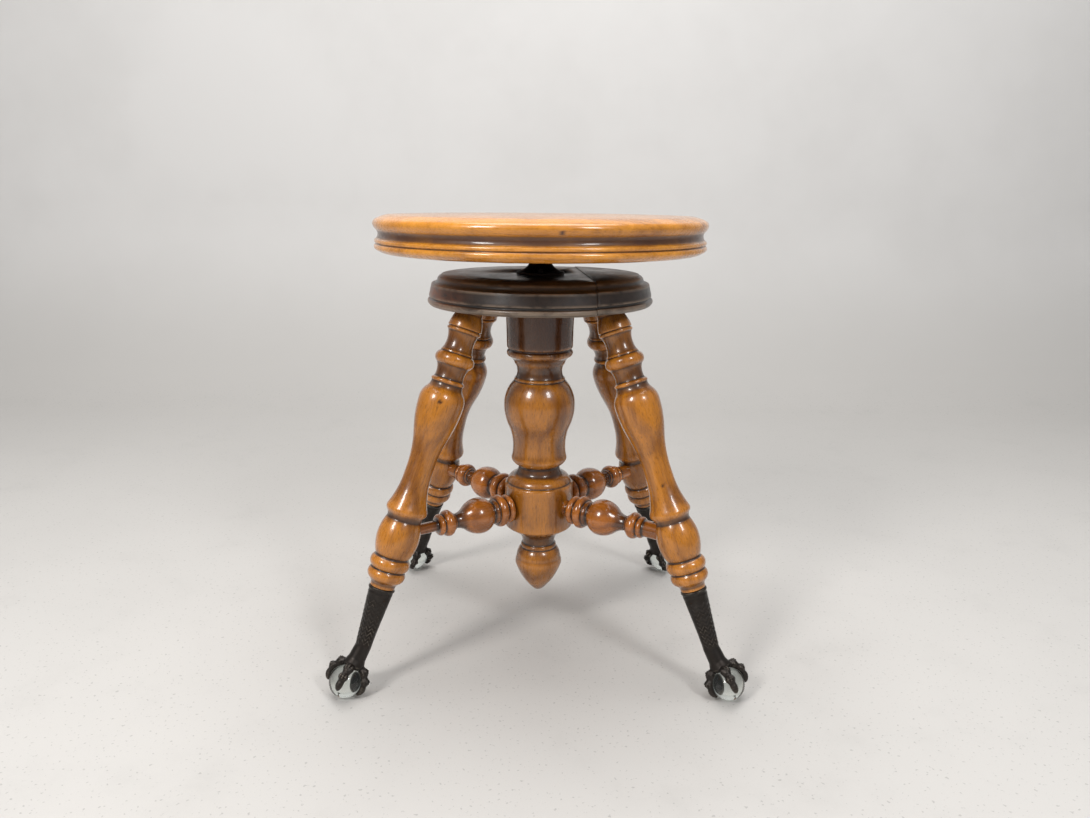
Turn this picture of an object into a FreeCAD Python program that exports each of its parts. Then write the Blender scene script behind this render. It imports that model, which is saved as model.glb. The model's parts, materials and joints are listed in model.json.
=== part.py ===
import FreeCAD, Part
import math
import os
import Sketcher

# Revolving stool: a round wooden seat on a coarse iron screw that winds up and
# down in an iron nut let into a turned centre post.  Four turned, splayed legs,
# four turned stretchers, cast-iron claws holding glass balls.
# Millimetres, +Z up, origin on the floor under the centre of the post.

V = FreeCAD.Vector
UP = V(0, 0, 1)

# ---------------------------------------------------------------- sizes ----
SIZES = {
    # seat
    "seat_diameter": 356.0,
    "seat_thickness": 39.0,
    "seat_height": 492.0,
    "seat_gap": 23.0,
    # disc (two boards glued edge to edge)
    "disc_diameter": 246.0,
    "disc_thickness": 32.0,
    "seam_offset": 48.0,
    "seam_angle": 4.0,
    "seam_lift": 0.6,
    "dowel_diameter": 8.0,
    "dowel_length": 32.0,
    "dowel_spread": 36.0,
    # legs
    "front_leg_angle": 55.0,
    "rear_leg_angle": 45.5,
    "leg_top_circle": 87.5,
    "leg_tenon_radius": 14.0,
    "leg_tenon_length": 21.0,
    "foot_circle": 245.5,
    "claw_offset": 8.0,
    # iron claws and glass balls
    "ball_diameter": 34.0,
    "claw_tilt": 32.0,
    "socket_radius": 13.4,
    "shank_radius": 8.4,
    "socket_depth": 40.0,
    "toe_radius": 4.5,
    "toe_reach": 112.0,
    "claw_pin_diameter": 3.0,
    # post
    "post_radius": 38.0,
    "post_spigot_radius": 27.0,
    "post_spigot_height": 12.0,
    "hub_radius": 39.6,
    "hub_height": 51.0,
    "screw_bore_radius": 11.5,
    "screw_bore_floor": 26.0,
    # stretchers
    "stretcher_tenon_radius": 9.4,
    "stretcher_tenon_depth": 14.0,
    "slim_tenon_radius": 6.0,
    "nail_diameter": 2.0,
    "nail_length": 12.0,
    # screw, nut, washer and seat plate
    "screw_diameter": 18.4,
    "screw_lead": 6.0,
    "thread_depth": 1.8,
    "thread_clearance": 0.35,
    "screw_travel": 120.0,
    "nut_radius": 26.0,
    "nut_barrel_radius": 16.0,
    "nut_barrel_depth": 50.0,
    "nut_cone_height": 11.0,
    "nut_top_radius": 12.5,
    "washer_thickness": 1.5,
    "plate_thickness": 6.5,
    "plate_boss_radius": 17.0,
    "plate_boss_drop": 1.5,
    "plate_reach": 84.0,
    "plate_arm_width": 27.0,
    "plate_turn": 245.0,
    "pin_diameter": 4.0,
    "wood_screw_diameter": 4.5,
    "wood_screw_length": 22.0,
    # shared clearances
    "glue_gap": 0.1,
    "metal_gap": 0.2,
}


class Sizes:
    """The sheet's values, read back by name."""

    def __init__(self, sheet):
        self.sheet = sheet

    def __getattr__(self, name):
        return float(self.sheet.get(name))


def new_document():
    doc = FreeCAD.newDocument("stool")
    sheet = doc.addObject("Spreadsheet::Sheet", "Sizes")
    return doc, sheet


class SheetWriter:
    """Adds named numbers to the sheet, one row each."""

    def __init__(self, sheet):
        self.sheet = sheet
        self.row = 0

    def add(self, name, value):
        self.row += 1
        self.sheet.set("A%d" % self.row, name)
        self.sheet.set("B%d" % self.row, "%.6f" % value)
        self.sheet.setAlias("B%d" % self.row, name)


# ---------------------------------------------------- turning schedules ----
# A turned form is a list of steps taken along the axis:
#   ("line", length, radius)          straight to the new radius
#   ("bead", length, radius, swell)   arc that stands out by swell
#   ("cove", length, radius, depth)   arc hollowed by depth
#   ("ogee", length, radius, share)   two tangent arcs, crest to hollow

def schedule_length(steps):
    return sum(step[1] for step in steps)


def outline(start_radius, steps):
    """Vertices (radius, station) and the swell of the arc that leads to each."""
    points = [(start_radius, 0.0, 0.0)]
    radius = start_radius
    station = 0.0
    for step in steps:
        kind, length, target = step[0], step[1], step[2]
        if kind == "line":
            points.append((target, station + length, 0.0))
        elif kind == "bead":
            points.append((target, station + length, step[3]))
        elif kind == "cove":
            points.append((target, station + length, -step[3]))
        elif kind == "ogee":
            points.extend(ogee_points(radius, station, length, target, step[3]))
        radius = target
        station += length
    return points


def ogee_points(radius, station, length, target, share):
    rise = target - radius
    chord = math.hypot(length, rise)
    lean = math.atan2(abs(rise), length)
    sign = 1.0 if rise < 0 else -1.0
    first = sign * 0.5 * chord * share * math.tan(lean / 2)
    second = -sign * 0.5 * chord * (1 - share) * math.tan(lean / 2)
    middle = (radius + share * rise, station + share * length, first)
    return [middle, (target, station + length, second)]


# --------------------------------------------------------- body helpers ----

def plane_of(body, role):
    for feature in body.Origin.OriginFeatures:
        if feature.Role == role:
            return feature
    raise RuntimeError("plane %s not found" % role)


def make_body(doc, name):
    body = doc.addObject("PartDesign::Body", name)
    body.Label = name
    return body


def sketch_on(body, role, name):
    sketch = body.newObject("Sketcher::SketchObject", name)
    sketch.AttachmentSupport = [(plane_of(body, role), "")]
    sketch.MapMode = "FlatFace"
    return sketch


def edge_between(first, second):
    """Line or arc from one outline vertex to the next, in the sketch plane."""
    a = V(first[0], first[1], 0)
    b = V(second[0], second[1], 0)
    swell = second[2]
    if abs(swell) < 1e-6:
        return Part.LineSegment(a, b)
    along = b - a
    side = V(along.y, -along.x, 0)
    side.normalize()
    middle = (a + b) * 0.5 + side * swell
    if swell < 0:
        return Part.Arc(b, middle, a)
    return Part.Arc(a, middle, b)


def arc_radius(first, second):
    chord = math.hypot(second[0] - first[0], second[1] - first[1])
    swell = abs(second[2])
    return (chord * chord / 4 + swell * swell) / (2 * swell)


def revolved(doc, writer, name, points, key=None):
    """Solid of revolution about the body's Z axis, every vertex bound to the sheet."""
    key = key or name
    body = make_body(doc, name)
    sketch = sketch_on(body, "XZ_Plane", name + "_profile")
    low, high = points[0], points[-1]
    ring = [(0.0, low[1], 0.0)] + list(points) + [(0.0, high[1], 0.0)]
    edges = [edge_between(ring[i], ring[i + 1]) for i in range(len(ring) - 1)]
    edges.append(Part.LineSegment(V(0, high[1], 0), V(0, low[1], 0)))
    sketch.addGeometry(edges, False)
    ends = []
    for i in range(len(edges)):
        hollow = i + 1 < len(ring) and ring[i + 1][2] < -1e-6
        ends.append((2, 1) if hollow else (1, 2))
    rules = []
    bound = []
    for i in range(len(edges)):
        after = (i + 1) % len(edges)
        rules.append(Sketcher.Constraint("Coincident", i, ends[i][1], after, ends[after][0]))
    for i, (radius, station, swell) in enumerate(ring):
        if radius < 1e-9:
            rules.append(Sketcher.Constraint("PointOnObject", i, ends[i][0], -2))
        else:
            bound.append((len(rules), bind_cell(writer, key, "radius", i, radius)))
            rules.append(Sketcher.Constraint("DistanceX", -1, 1, i, ends[i][0], radius))
        if abs(station) < 1e-9:
            rules.append(Sketcher.Constraint("PointOnObject", i, ends[i][0], -1))
        else:
            bound.append((len(rules), bind_cell(writer, key, "station", i, station)))
            rules.append(Sketcher.Constraint("DistanceY", -1, 1, i, ends[i][0], station))
        if i and abs(swell) > 1e-6:
            size = arc_radius(ring[i - 1], ring[i])
            bound.append((len(rules), bind_cell(writer, key, "round", i, size)))
            rules.append(Sketcher.Constraint("Radius", i - 1, size))
    sketch.addConstraint(rules)
    for index, alias in bound:
        sketch.setExpression("Constraints[%d]" % index, "Sizes." + alias)
    turn = body.newObject("PartDesign::Revolution", name + "_turned")
    turn.Profile = sketch
    turn.ReferenceAxis = (sketch, ["V_Axis"])
    turn.Angle = 360.0
    return body


BOUND = {}


def bind_cell(writer, key, kind, index, value):
    alias = "%s_%s_%02d" % (key, kind, index)
    if alias not in BOUND:
        writer.add(alias, value)
        BOUND[alias] = value
    return alias


def rod_between(start, end, radius):
    along = end - start
    return Part.makeCylinder(radius, along.Length, start, along)


def placed(x, y, z, axis, angle):
    return FreeCAD.Placement(V(x, y, z), FreeCAD.Rotation(axis, angle))


def shaped(doc, name, shape):
    feature = doc.addObject("Part::Feature", name)
    feature.Label = name
    feature.Shape = shape
    return feature


# ------------------------------------------------------------ the forms ----

SEAT_STEPS = [
    ("bead", 4.0, 175.4, 0.8),
    ("bead", 5.5, 176.0, 1.5),
    ("line", 1.0, 175.0),
    ("bead", 4.5, 175.2, 1.6),
    ("cove", 9.0, 174.6, 2.0),
    ("bead", 6.0, 178.0, 0.6),
    ("bead", 5.2, 174.8, 0.86),
    ("bead", 3.8, 164.0, 0.37),
]
SEAT_UNDER_RADIUS = 165.0

DISC_STEPS = [
    ("bead", 1.5, 121.6, 0.5),
    ("bead", 5.0, 121.8, 1.2),
    ("line", 0.8, 120.4),
    ("line", 1.4, 120.4),
    ("line", 0.8, 121.4),
    ("line", 13.0, 118.4),
    ("line", 0.9, 115.2),
    ("cove", 4.0, 112.0, 0.8),
    ("bead", 3.4, 108.6, 0.6),
    ("line", 1.2, 107.4),
]
DISC_UNDER_RADIUS = 119.0

LEG_UPPER = [
    ("line", 7.0, 14.0),
    ("bead", 15.0, 18.2, 0.6),
    ("line", 1.2, 16.6),
    ("bead", 4.0, 16.4, 1.6),
    ("cove", 20.0, 16.2, 1.9),
    ("line", 0.8, 17.2),
    ("line", 2.0, 17.2),
    ("bead", 13.0, 17.4, 3.8),
    ("line", 1.5, 16.6),
    ("cove", 13.0, 15.6, 1.0),
    ("line", 0.8, 16.6),
    ("bead", 4.0, 16.8, 1.2),
    ("ogee", 19.7, 24.2, 0.35),
]
LEG_WAIST_RADIUS = 14.3
LEG_LOWER = [
    ("line", 10.0, 14.6),
    ("cove", 36.0, 21.4, 1.7),
    ("bead", 6.0, 20.6, 0.9),
    ("cove", 7.0, 18.2, 0.8),
    ("line", 1.0, 18.8),
    ("bead", 38.0, 18.8, 3.8),
    ("line", 1.5, 17.6),
    ("line", 1.0, 17.6),
    ("line", 1.0, 19.2),
    ("bead", 11.0, 19.2, 2.0),
    ("line", 1.3, 17.8),
    ("bead", 11.5, 17.6, 2.4),
    ("cove", 5.0, 13.4, 0.6),
    ("line", 3.5, 13.2),
]
LEG_BULB_BACK = 57.3
LEG_BULB_RADIUS = 22.6
CLAW_LENGTH = 103.0

POST_TIP_RADIUS = 5.5
POST_FOOT = [
    ("bead", 35.0, 27.5, 2.8),
    ("bead", 7.0, 26.2, 0.4),
    ("bead", 12.0, 21.8, 1.0),
    ("line", 1.0, 20.6),
    ("bead", 4.0, 20.2, 0.5),
    ("line", 1.0, 18.8),
    ("cove", 15.0, 25.5, 1.9),
    ("line", 1.5, 27.2),
    ("bead", 5.0, 35.6, 0.8),
    ("bead", 3.0, 39.6, 0.7),
]
POST_HUB_TOP = [
    ("bead", 2.6, 38.0, 0.5),
    ("line", 0.8, 36.8),
    ("line", 1.2, 36.4),
    ("bead", 7.4, 29.4, 1.5),
    ("line", 0.8, 28.2),
    ("cove", 5.0, 24.4, 0.8),
    ("line", 4.0, 23.2),
    ("line", 1.2, 23.4),
    ("bead", 6.6, 31.4, 1.0),
    ("bead", 5.2, 31.2, 0.6),
    ("cove", 12.0, 30.2, 0.3),
]
POST_BELLY_RADIUS = 40.3
POST_BELLY_LENGTH = 47.0434011
POST_UPPER = [
    ("bead", 28.6, 29.4, 2.9),
    ("line", 0.8, 28.4),
    ("bead", 2.6, 28.2, 0.5),
    ("line", 0.8, 27.0),
    ("cove", 16.0, 28.6, 2.4),
    ("cove", 8.0, 35.0, 1.2),
    ("bead", 6.6, 36.2, 1.5),
    ("line", 1.0, 35.0),
    ("line", 1.2, 35.0),
    ("line", 1.0, 37.0),
]
POST_BLOCK = 48.5

STRETCHER_INNER = [
    ("line", 0.8, 13.6),
    ("bead", 7.0, 14.6, 2.2),
    ("line", 0.8, 13.2),
    ("line", 1.2, 13.2),
    ("line", 0.8, 15.6),
    ("bead", 9.0, 16.0, 2.6),
    ("line", 0.8, 14.0),
    ("bead", 5.0, 12.8, 0.8),
    ("line", 1.5, 12.4),
    ("bead", 14.5, 20.2, 2.1),
]
STRETCHER_NECK_RADIUS = 8.0
STRETCHER_OUTER = [
    ("line", 0.8, 9.8),
    ("line", 1.6, 9.8),
    ("line", 0.6, 11.0),
    ("bead", 11.0, 11.2, 3.4),
    ("line", 0.8, 10.2),
    ("bead", 5.8, 10.2, 1.7),
]
HUB_REVEAL = 6.0
LEG_REVEAL = 15.5

LEGS = [
    ("front_left", "front", -1),
    ("front_right", "front", 1),
    ("back_right", "rear", 1),
    ("back_left", "rear", -1),
]
# how far each stretcher has crept along its holes, and which one has the slim tenon
CREEP = {"front_left": -5.5, "front_right": 0.0, "back_right": 0.0, "back_left": 2.5}
SLIM = {"front_left"}

PLATE_SCREW_RADII = [48.0, 74.0]
NUT_SCREW_CIRCLE = 20.6
NUT_SCREW_COUNT = 3
NUT_SCREW_DIAMETER = 3.6
NUT_SCREW_LENGTH = 20.0
# width of the thread at its foot and at its crest
THREAD_FOOT = 3.3
THREAD_CREST = 2.1
ARM_COUNT = 4


class Layout:
    """Places that follow from the sizes."""

    def __init__(self, s):
        self.seat_under = s.seat_height - s.seat_thickness
        self.disc_top = self.seat_under - s.seat_gap
        self.disc_under = self.disc_top - s.disc_thickness
        self.ball_radius = s.ball_diameter / 2
        run = s.foot_circle - s.claw_offset - s.leg_top_circle
        drop = self.disc_under - self.ball_radius
        self.splay = math.degrees(math.atan2(run, drop))
        self.axis_length = math.hypot(run, drop)
        self.wood_length = self.axis_length - CLAW_LENGTH
        self.bulb_station = self.wood_length - LEG_BULB_BACK
        lean = math.radians(self.splay)
        self.down = V(math.sin(lean), 0, -math.cos(lean))
        self.leg_top = V(s.leg_top_circle, 0, self.disc_under)
        self.bulb = self.leg_top + self.down * self.bulb_station
        self.stretcher_height = self.bulb.z
        self.hub_bottom = self.stretcher_height - s.hub_height / 2
        self.hub_top = self.stretcher_height + s.hub_height / 2
        self.post_tip = self.hub_bottom - schedule_length(POST_FOOT)
        self.bore_floor = self.hub_top + s.screw_bore_floor
        self.nut_top = self.disc_top + s.nut_cone_height
        self.nut_bottom = self.disc_top - s.nut_barrel_depth
        self.plate_under = self.seat_under - s.plate_thickness
        self.boss_under = self.plate_under - s.plate_boss_drop
        self.rod_bottom = self.bore_floor + 6.0
        self.leg_face = self.bulb.x - LEG_BULB_RADIUS / math.cos(lean)

    def azimuth(self, s, end, side):
        if end == "front":
            return 270.0 + side * s.front_leg_angle
        return 90.0 - side * s.rear_leg_angle

    def on_axis(self, station):
        return self.leg_top + self.down * station


# ------------------------------------------------------------- seat part ----

def shifted_steps(steps, shift):
    """Carries a rim moulding out or in with the overall radius."""
    return [(step[0], step[1], step[2] + shift) + tuple(step[3:]) for step in steps]


def stretched_steps(steps, ratio):
    """Lengthens or shortens a run of turned forms and keeps their radii."""
    return [(step[0], step[1] * ratio) + tuple(step[2:]) for step in steps]


def make_seat(doc, writer, s, at):
    rim = s.seat_diameter / 2 - 178.0
    steps = shifted_steps(SEAT_STEPS, rim)
    flat = s.seat_thickness - schedule_length(SEAT_STEPS)
    if abs(flat) > 1e-6:
        steps[5] = (steps[5][0], steps[5][1] + flat) + steps[5][2:]
    blank = revolved(doc, writer, "seat_blank", outline(SEAT_UNDER_RADIUS + rim, steps), "seat")
    blank.Placement = placed(0, 0, at.seat_under, UP, 0)
    radius = s.wood_screw_diameter / 2 + s.glue_gap
    deep = s.wood_screw_length - s.plate_thickness + 0.5
    pilots = []
    for x, y in plate_screw_places(s):
        pilots.append(Part.makeCylinder(radius, deep, V(x, y, at.seat_under)))
    holes = shaped(doc, "seat_pilot_holes", Part.makeCompound(pilots))
    return cut_from(doc, "seat", blank, holes)


def cut_from(doc, name, base, tool):
    cut = doc.addObject("Part::Cut", name)
    cut.Label = name
    cut.Base = base
    cut.Tool = tool
    return cut


def plate_screw_places(s):
    places = []
    for arm in range(ARM_COUNT):
        turn = math.radians(s.plate_turn + 360.0 * arm / ARM_COUNT)
        for radius in PLATE_SCREW_RADII:
            places.append((radius * math.cos(turn), radius * math.sin(turn)))
    return places


def make_plate(doc, s, at):
    """Cast-iron cross under the seat, with a boss that takes the screw."""
    parts = []
    for arm in range(ARM_COUNT):
        angle = s.plate_turn + 360.0 * arm / ARM_COUNT
        bar = doc.addObject("Part::Box", "plate_bar_%d" % arm)
        bar.setExpression("Length", "Sizes.plate_reach - Sizes.plate_arm_width / 2")
        bar.setExpression("Width", "Sizes.plate_arm_width")
        bar.setExpression("Height", "Sizes.plate_thickness")
        turn = FreeCAD.Rotation(UP, angle)
        corner = turn.multVec(V(0, -s.plate_arm_width / 2, 0))
        bar.Placement = FreeCAD.Placement(V(corner.x, corner.y, at.plate_under), turn)
        end = doc.addObject("Part::Cylinder", "plate_end_%d" % arm)
        end.setExpression("Radius", "Sizes.plate_arm_width / 2")
        end.setExpression("Height", "Sizes.plate_thickness")
        tip = turn.multVec(V(s.plate_reach - s.plate_arm_width / 2, 0, 0))
        end.Placement = placed(tip.x, tip.y, at.plate_under, UP, 0)
        parts.extend([bar, end])
    boss = doc.addObject("Part::Cylinder", "plate_boss")
    boss.setExpression("Radius", "Sizes.plate_boss_radius + 3.5")
    boss.setExpression("Height", "Sizes.plate_thickness + Sizes.plate_boss_drop")
    boss.Placement = placed(0, 0, at.boss_under, UP, 0)
    solid = doc.addObject("Part::MultiFuse", "plate_solid")
    solid.Shapes = parts + [boss]
    solid.Refine = True
    tools = []
    bore = s.screw_diameter / 2 + s.glue_gap
    tools.append(Part.makeCylinder(bore, 20, V(0, 0, at.boss_under - 5)))
    for x, y in plate_screw_places(s):
        tools.append(screw_shape(s.wood_screw_diameter, s.wood_screw_length, s.metal_gap,
                                 V(x, y, at.plate_under), UP))
    tools.append(pin_shape(s, at, s.glue_gap))
    holes = shaped(doc, "plate_holes", Part.makeCompound(tools))
    return cut_from(doc, "seat_plate", solid, holes)


def screw_shape(diameter, length, gap, head_at, direction):
    """Countersunk screw, flat head flush at head_at, pointing along direction."""
    radius = diameter / 2 + gap
    head = diameter + gap
    sink = diameter * 0.6
    cone = Part.makeCone(head, radius, sink, head_at, direction)
    shank = Part.makeCylinder(radius, length - sink, head_at + direction * sink, direction)
    if gap > 0:
        lead = Part.makeCylinder(head, 3.0, head_at - direction * 3.0, direction)
        return lead.fuse([cone, shank])
    slot = Part.makeBox(head * 2, diameter * 0.18, diameter * 0.3)
    slot.translate(V(-head, -diameter * 0.09, 0))
    slot.Placement = FreeCAD.Placement(head_at, FreeCAD.Rotation(UP, direction)).multiply(
        FreeCAD.Placement(V(0, 0, -0.001), FreeCAD.Rotation(UP, 30)))
    return cone.fuse(shank).removeSplitter().cut(slot)


def pin_shape(s, at, gap):
    radius = s.pin_diameter / 2 + gap
    half = s.plate_boss_radius + 3.5 - 0.2 + (5.0 if gap > 0 else 0.0)
    turn = math.radians(s.plate_turn + 180.0 / ARM_COUNT)
    along = V(math.cos(turn), math.sin(turn), 0)
    middle = V(0, 0, (at.boss_under + at.seat_under) / 2)
    return rod_between(middle - along * half, middle + along * half, radius)


def make_seat_screws(doc, s, at):
    screws = []
    for x, y in plate_screw_places(s):
        screws.append(screw_shape(s.wood_screw_diameter, s.wood_screw_length, 0.0,
                                  V(x, y, at.plate_under), UP))
    return shaped(doc, "seat_screws", Part.makeCompound(screws))


# ------------------------------------------------------- screw and nut ----

def thread_ridge(lead, core, crest, base_width, crest_width, low, height):
    """Helical ridge standing on a core, solid, slightly sunk into it."""
    helix = Part.makeHelix(lead, height, core)
    helix.translate(V(0, 0, low))
    inner = core - 0.4
    corners = [
        V(inner, 0, low - base_width / 2),
        V(crest, 0, low - crest_width / 2),
        V(crest, 0, low + crest_width / 2),
        V(inner, 0, low + base_width / 2),
    ]
    profile = Part.makePolygon(corners + corners[:1])
    sweep = Part.Wire(helix.Edges).makePipeShell([profile], True, True)
    return Part.makeSolid(sweep) if sweep.ShapeType != "Solid" else sweep


def make_rod(doc, s, at):
    crest = s.screw_diameter / 2
    core = crest - s.thread_depth
    top = at.seat_under - 0.2
    neck = at.nut_top + 2.6
    low = at.rod_bottom
    turns = int((neck - low - s.screw_lead) / s.screw_lead)
    start = thread_start(s, at, low)
    ridge = thread_ridge(s.screw_lead, core, crest, THREAD_FOOT, THREAD_CREST, start, turns * s.screw_lead)
    body = Part.makeCylinder(core, neck - low, V(0, 0, low))
    tip = Part.makeCone(core, core - 2.5, 3.0, V(0, 0, low), V(0, 0, -1))
    collar = Part.makeCylinder(crest, top - neck, V(0, 0, neck))
    rod = body.fuse([tip, collar]).removeSplitter().fuse(ridge)
    rod = rod.cut(pin_shape(s, at, s.glue_gap))
    return shaped(doc, "screw_rod", rod)


def thread_start(s, at, low):
    """Start height in step with the nut's thread."""
    steps = math.ceil((low + 3.0 - at.nut_bottom) / s.screw_lead)
    return at.nut_bottom + steps * s.screw_lead


def make_nut(doc, writer, s, at):
    steps = [
        ("line", s.nut_barrel_depth, s.nut_barrel_radius),
        ("line", 0.0, s.nut_radius),
        ("line", 2.2, s.nut_radius),
        ("line", 0.6, s.nut_radius - 1.8),
        ("cove", s.nut_cone_height - 2.8, s.nut_top_radius, 1.6),
    ]
    blank = revolved(doc, writer, "nut_blank", outline(s.nut_barrel_radius, steps), "nut")
    blank.Placement = placed(0, 0, at.nut_bottom, UP, 0)
    gap = s.thread_clearance
    crest = s.screw_diameter / 2 + gap
    core = s.screw_diameter / 2 - s.thread_depth + gap
    start = at.nut_bottom - 2 * s.screw_lead
    height = s.nut_barrel_depth + s.nut_cone_height + 4 * s.screw_lead
    ridge = thread_ridge(s.screw_lead, core, crest, THREAD_FOOT + 2 * gap, THREAD_CREST + 2 * gap, start, height)
    bore = Part.makeCylinder(core, height, V(0, 0, at.nut_bottom - 5))
    tools = bore.fuse(ridge)
    heads = []
    for x, y in nut_screw_places(s):
        spot = V(x, y, at.disc_top + 3.4)
        heads.append(screw_shape(NUT_SCREW_DIAMETER, NUT_SCREW_LENGTH, s.metal_gap, spot, V(0, 0, -1)))
    cutter = shaped(doc, "nut_thread_form", Part.makeCompound([tools] + heads))
    return cut_from(doc, "screw_nut", blank, cutter)


def nut_screw_places(s):
    places = []
    for i in range(NUT_SCREW_COUNT):
        turn = math.radians(30.0 + 360.0 * i / NUT_SCREW_COUNT)
        places.append((NUT_SCREW_CIRCLE * math.cos(turn), NUT_SCREW_CIRCLE * math.sin(turn)))
    return places


def make_nut_screws(doc, s, at):
    screws = []
    for x, y in nut_screw_places(s):
        spot = V(x, y, at.disc_top + 3.4)
        screws.append(screw_shape(NUT_SCREW_DIAMETER, NUT_SCREW_LENGTH, 0.0, spot, V(0, 0, -1)))
    return shaped(doc, "nut_screws", Part.makeCompound(screws))


def make_washer(doc, s, at):
    ring = doc.addObject("Part::Cylinder", "washer_disc")
    ring.setExpression("Radius", "Sizes.nut_top_radius - 0.3")
    ring.setExpression("Height", "Sizes.washer_thickness")
    ring.Placement = placed(0, 0, at.nut_top, UP, 0)
    hole = doc.addObject("Part::Cylinder", "washer_hole")
    hole.setExpression("Radius", "Sizes.screw_diameter / 2 + 0.4")
    hole.setExpression("Height", "Sizes.washer_thickness + 4")
    hole.Placement = placed(0, 0, at.nut_top - 2, UP, 0)
    return cut_from(doc, "thrust_washer", ring, hole)


def make_pin(doc, s, at):
    return shaped(doc, "screw_pin", pin_shape(s, at, 0.0))


# -------------------------------------------------------- disc and post ----

def leg_placement(at, azimuth):
    turn = FreeCAD.Rotation(UP, azimuth)
    tilt = FreeCAD.Rotation(V(0, 1, 0), 180.0 - at.splay)
    return turn, turn.multiply(tilt)


def seam_frame(s):
    turn = FreeCAD.Rotation(UP, s.seam_angle)
    return turn.multVec(V(1, 0, 0)), turn.multVec(V(0, 1, 0)), turn


def disc_tools(s, at, azimuths):
    tools = []
    hole = s.nut_barrel_radius + s.metal_gap
    tools.append(Part.makeCylinder(hole, 60, V(0, 0, at.disc_under - 10)))
    spigot = s.post_spigot_radius + s.glue_gap
    tools.append(Part.makeCylinder(spigot, s.post_spigot_height + 10.1, V(0, 0, at.disc_under - 10)))
    for azimuth in azimuths:
        turn = FreeCAD.Rotation(UP, azimuth)
        top = turn.multVec(at.on_axis(-s.leg_tenon_length - 0.2))
        low = turn.multVec(at.on_axis(20.0))
        tools.append(rod_between(top, low, s.leg_tenon_radius + s.glue_gap))
    for x, y in nut_screw_places(s):
        spot = V(x, y, at.disc_top + 3.4)
        tools.append(screw_shape(NUT_SCREW_DIAMETER, NUT_SCREW_LENGTH + 0.4, s.glue_gap, spot, V(0, 0, -1)))
    tools.extend(dowel_shapes(s, at, s.glue_gap))
    return tools


def dowel_shapes(s, at, gap):
    across, along, turn = seam_frame(s)
    height = at.disc_under + s.disc_thickness * 0.53
    half = s.dowel_length / 2 + (0.3 if gap > 0 else 0.0)
    shapes = []
    for side in (-1, 1):
        middle = across * s.seam_offset + along * (side * s.dowel_spread / 2) + V(0, 0, height)
        start = middle - across * half
        shapes.append(rod_between(start, middle + across * half, s.dowel_diameter / 2 + gap))
    return shapes


def make_disc(doc, writer, s, at, azimuths):
    rim = s.disc_diameter / 2 - 123.0
    steps = shifted_steps(DISC_STEPS, rim)
    extra = s.disc_thickness - schedule_length(DISC_STEPS)
    steps[5] = (steps[5][0], steps[5][1] + extra) + steps[5][2:]
    boards = []
    for name, side, lift in (("disc_main_board", -1, 0.0), ("disc_side_board", 1, s.seam_lift)):
        blank = revolved(doc, writer, name + "_blank",
                         outline(DISC_UNDER_RADIUS + rim, steps), "disc")
        blank.Placement = placed(0, 0, at.disc_under + lift, UP, 0)
        across, along, turn = seam_frame(s)
        reach = s.disc_diameter
        half = doc.addObject("Part::Box", name + "_side")
        half.setExpression("Length", "Sizes.disc_diameter")
        half.setExpression("Width", "Sizes.disc_diameter * 2")
        half.setExpression("Height", "Sizes.disc_thickness + 20")
        if side < 0:
            corner = across * (s.seam_offset - s.glue_gap / 2 - reach) - along * reach
        else:
            corner = across * (s.seam_offset + s.glue_gap / 2) - along * reach
        half.Placement = FreeCAD.Placement(V(corner.x, corner.y, at.disc_under - 10), turn)
        board = doc.addObject("Part::Common", name + "_board")
        board.Base = blank
        board.Tool = half
        holes = shaped(doc, name + "_holes", Part.makeCompound(disc_tools(s, at, azimuths)))
        boards.append(cut_from(doc, name, board, holes))
    return boards


def make_dowels(doc, s, at):
    return shaped(doc, "disc_dowels", Part.makeCompound(dowel_shapes(s, at, 0.0)))


def make_post(doc, writer, s, at, azimuths):
    foot = list(POST_FOOT)
    foot[-1] = ("bead", 3.0, s.hub_radius, 0.7)
    steps = foot + [("line", s.hub_height - 2.6, s.hub_radius)]
    upper = POST_HUB_TOP + [("ogee", POST_BELLY_LENGTH, POST_BELLY_RADIUS, 0.5)] + POST_UPPER
    upper = upper + [("line", POST_BLOCK, s.post_radius)]
    room = at.disc_under - at.post_tip - schedule_length(steps)
    steps = steps + stretched_steps(upper, room / schedule_length(upper))
    steps = steps + [("line", 0.0, s.post_spigot_radius)]
    steps = steps + [("line", s.post_spigot_height, s.post_spigot_radius)]
    blank = revolved(doc, writer, "post_blank", outline(POST_TIP_RADIUS, steps), "post")
    blank.Placement = placed(0, 0, at.post_tip, UP, 0)
    tools = []
    top = at.disc_under + s.post_spigot_height
    seat = at.nut_bottom - 0.3
    tools.append(Part.makeCylinder(s.nut_barrel_radius + s.metal_gap, top - seat + 5, V(0, 0, seat)))
    tools.append(Part.makeCylinder(s.screw_bore_radius, seat - at.bore_floor + 5,
                                   V(0, 0, at.bore_floor)))
    for azimuth in azimuths:
        turn = FreeCAD.Rotation(UP, azimuth)
        deep = s.hub_radius - s.stretcher_tenon_depth + min(CREEP.values()) - 0.3
        start = turn.multVec(V(deep, 0, at.stretcher_height))
        end = turn.multVec(V(s.hub_radius + 10, 0, at.stretcher_height))
        tools.append(rod_between(start, end, s.stretcher_tenon_radius + s.glue_gap))
    holes = shaped(doc, "post_holes", Part.makeCompound(tools))
    return cut_from(doc, "post", blank, holes)


# ------------------------------------------------- legs and stretchers ----

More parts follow.
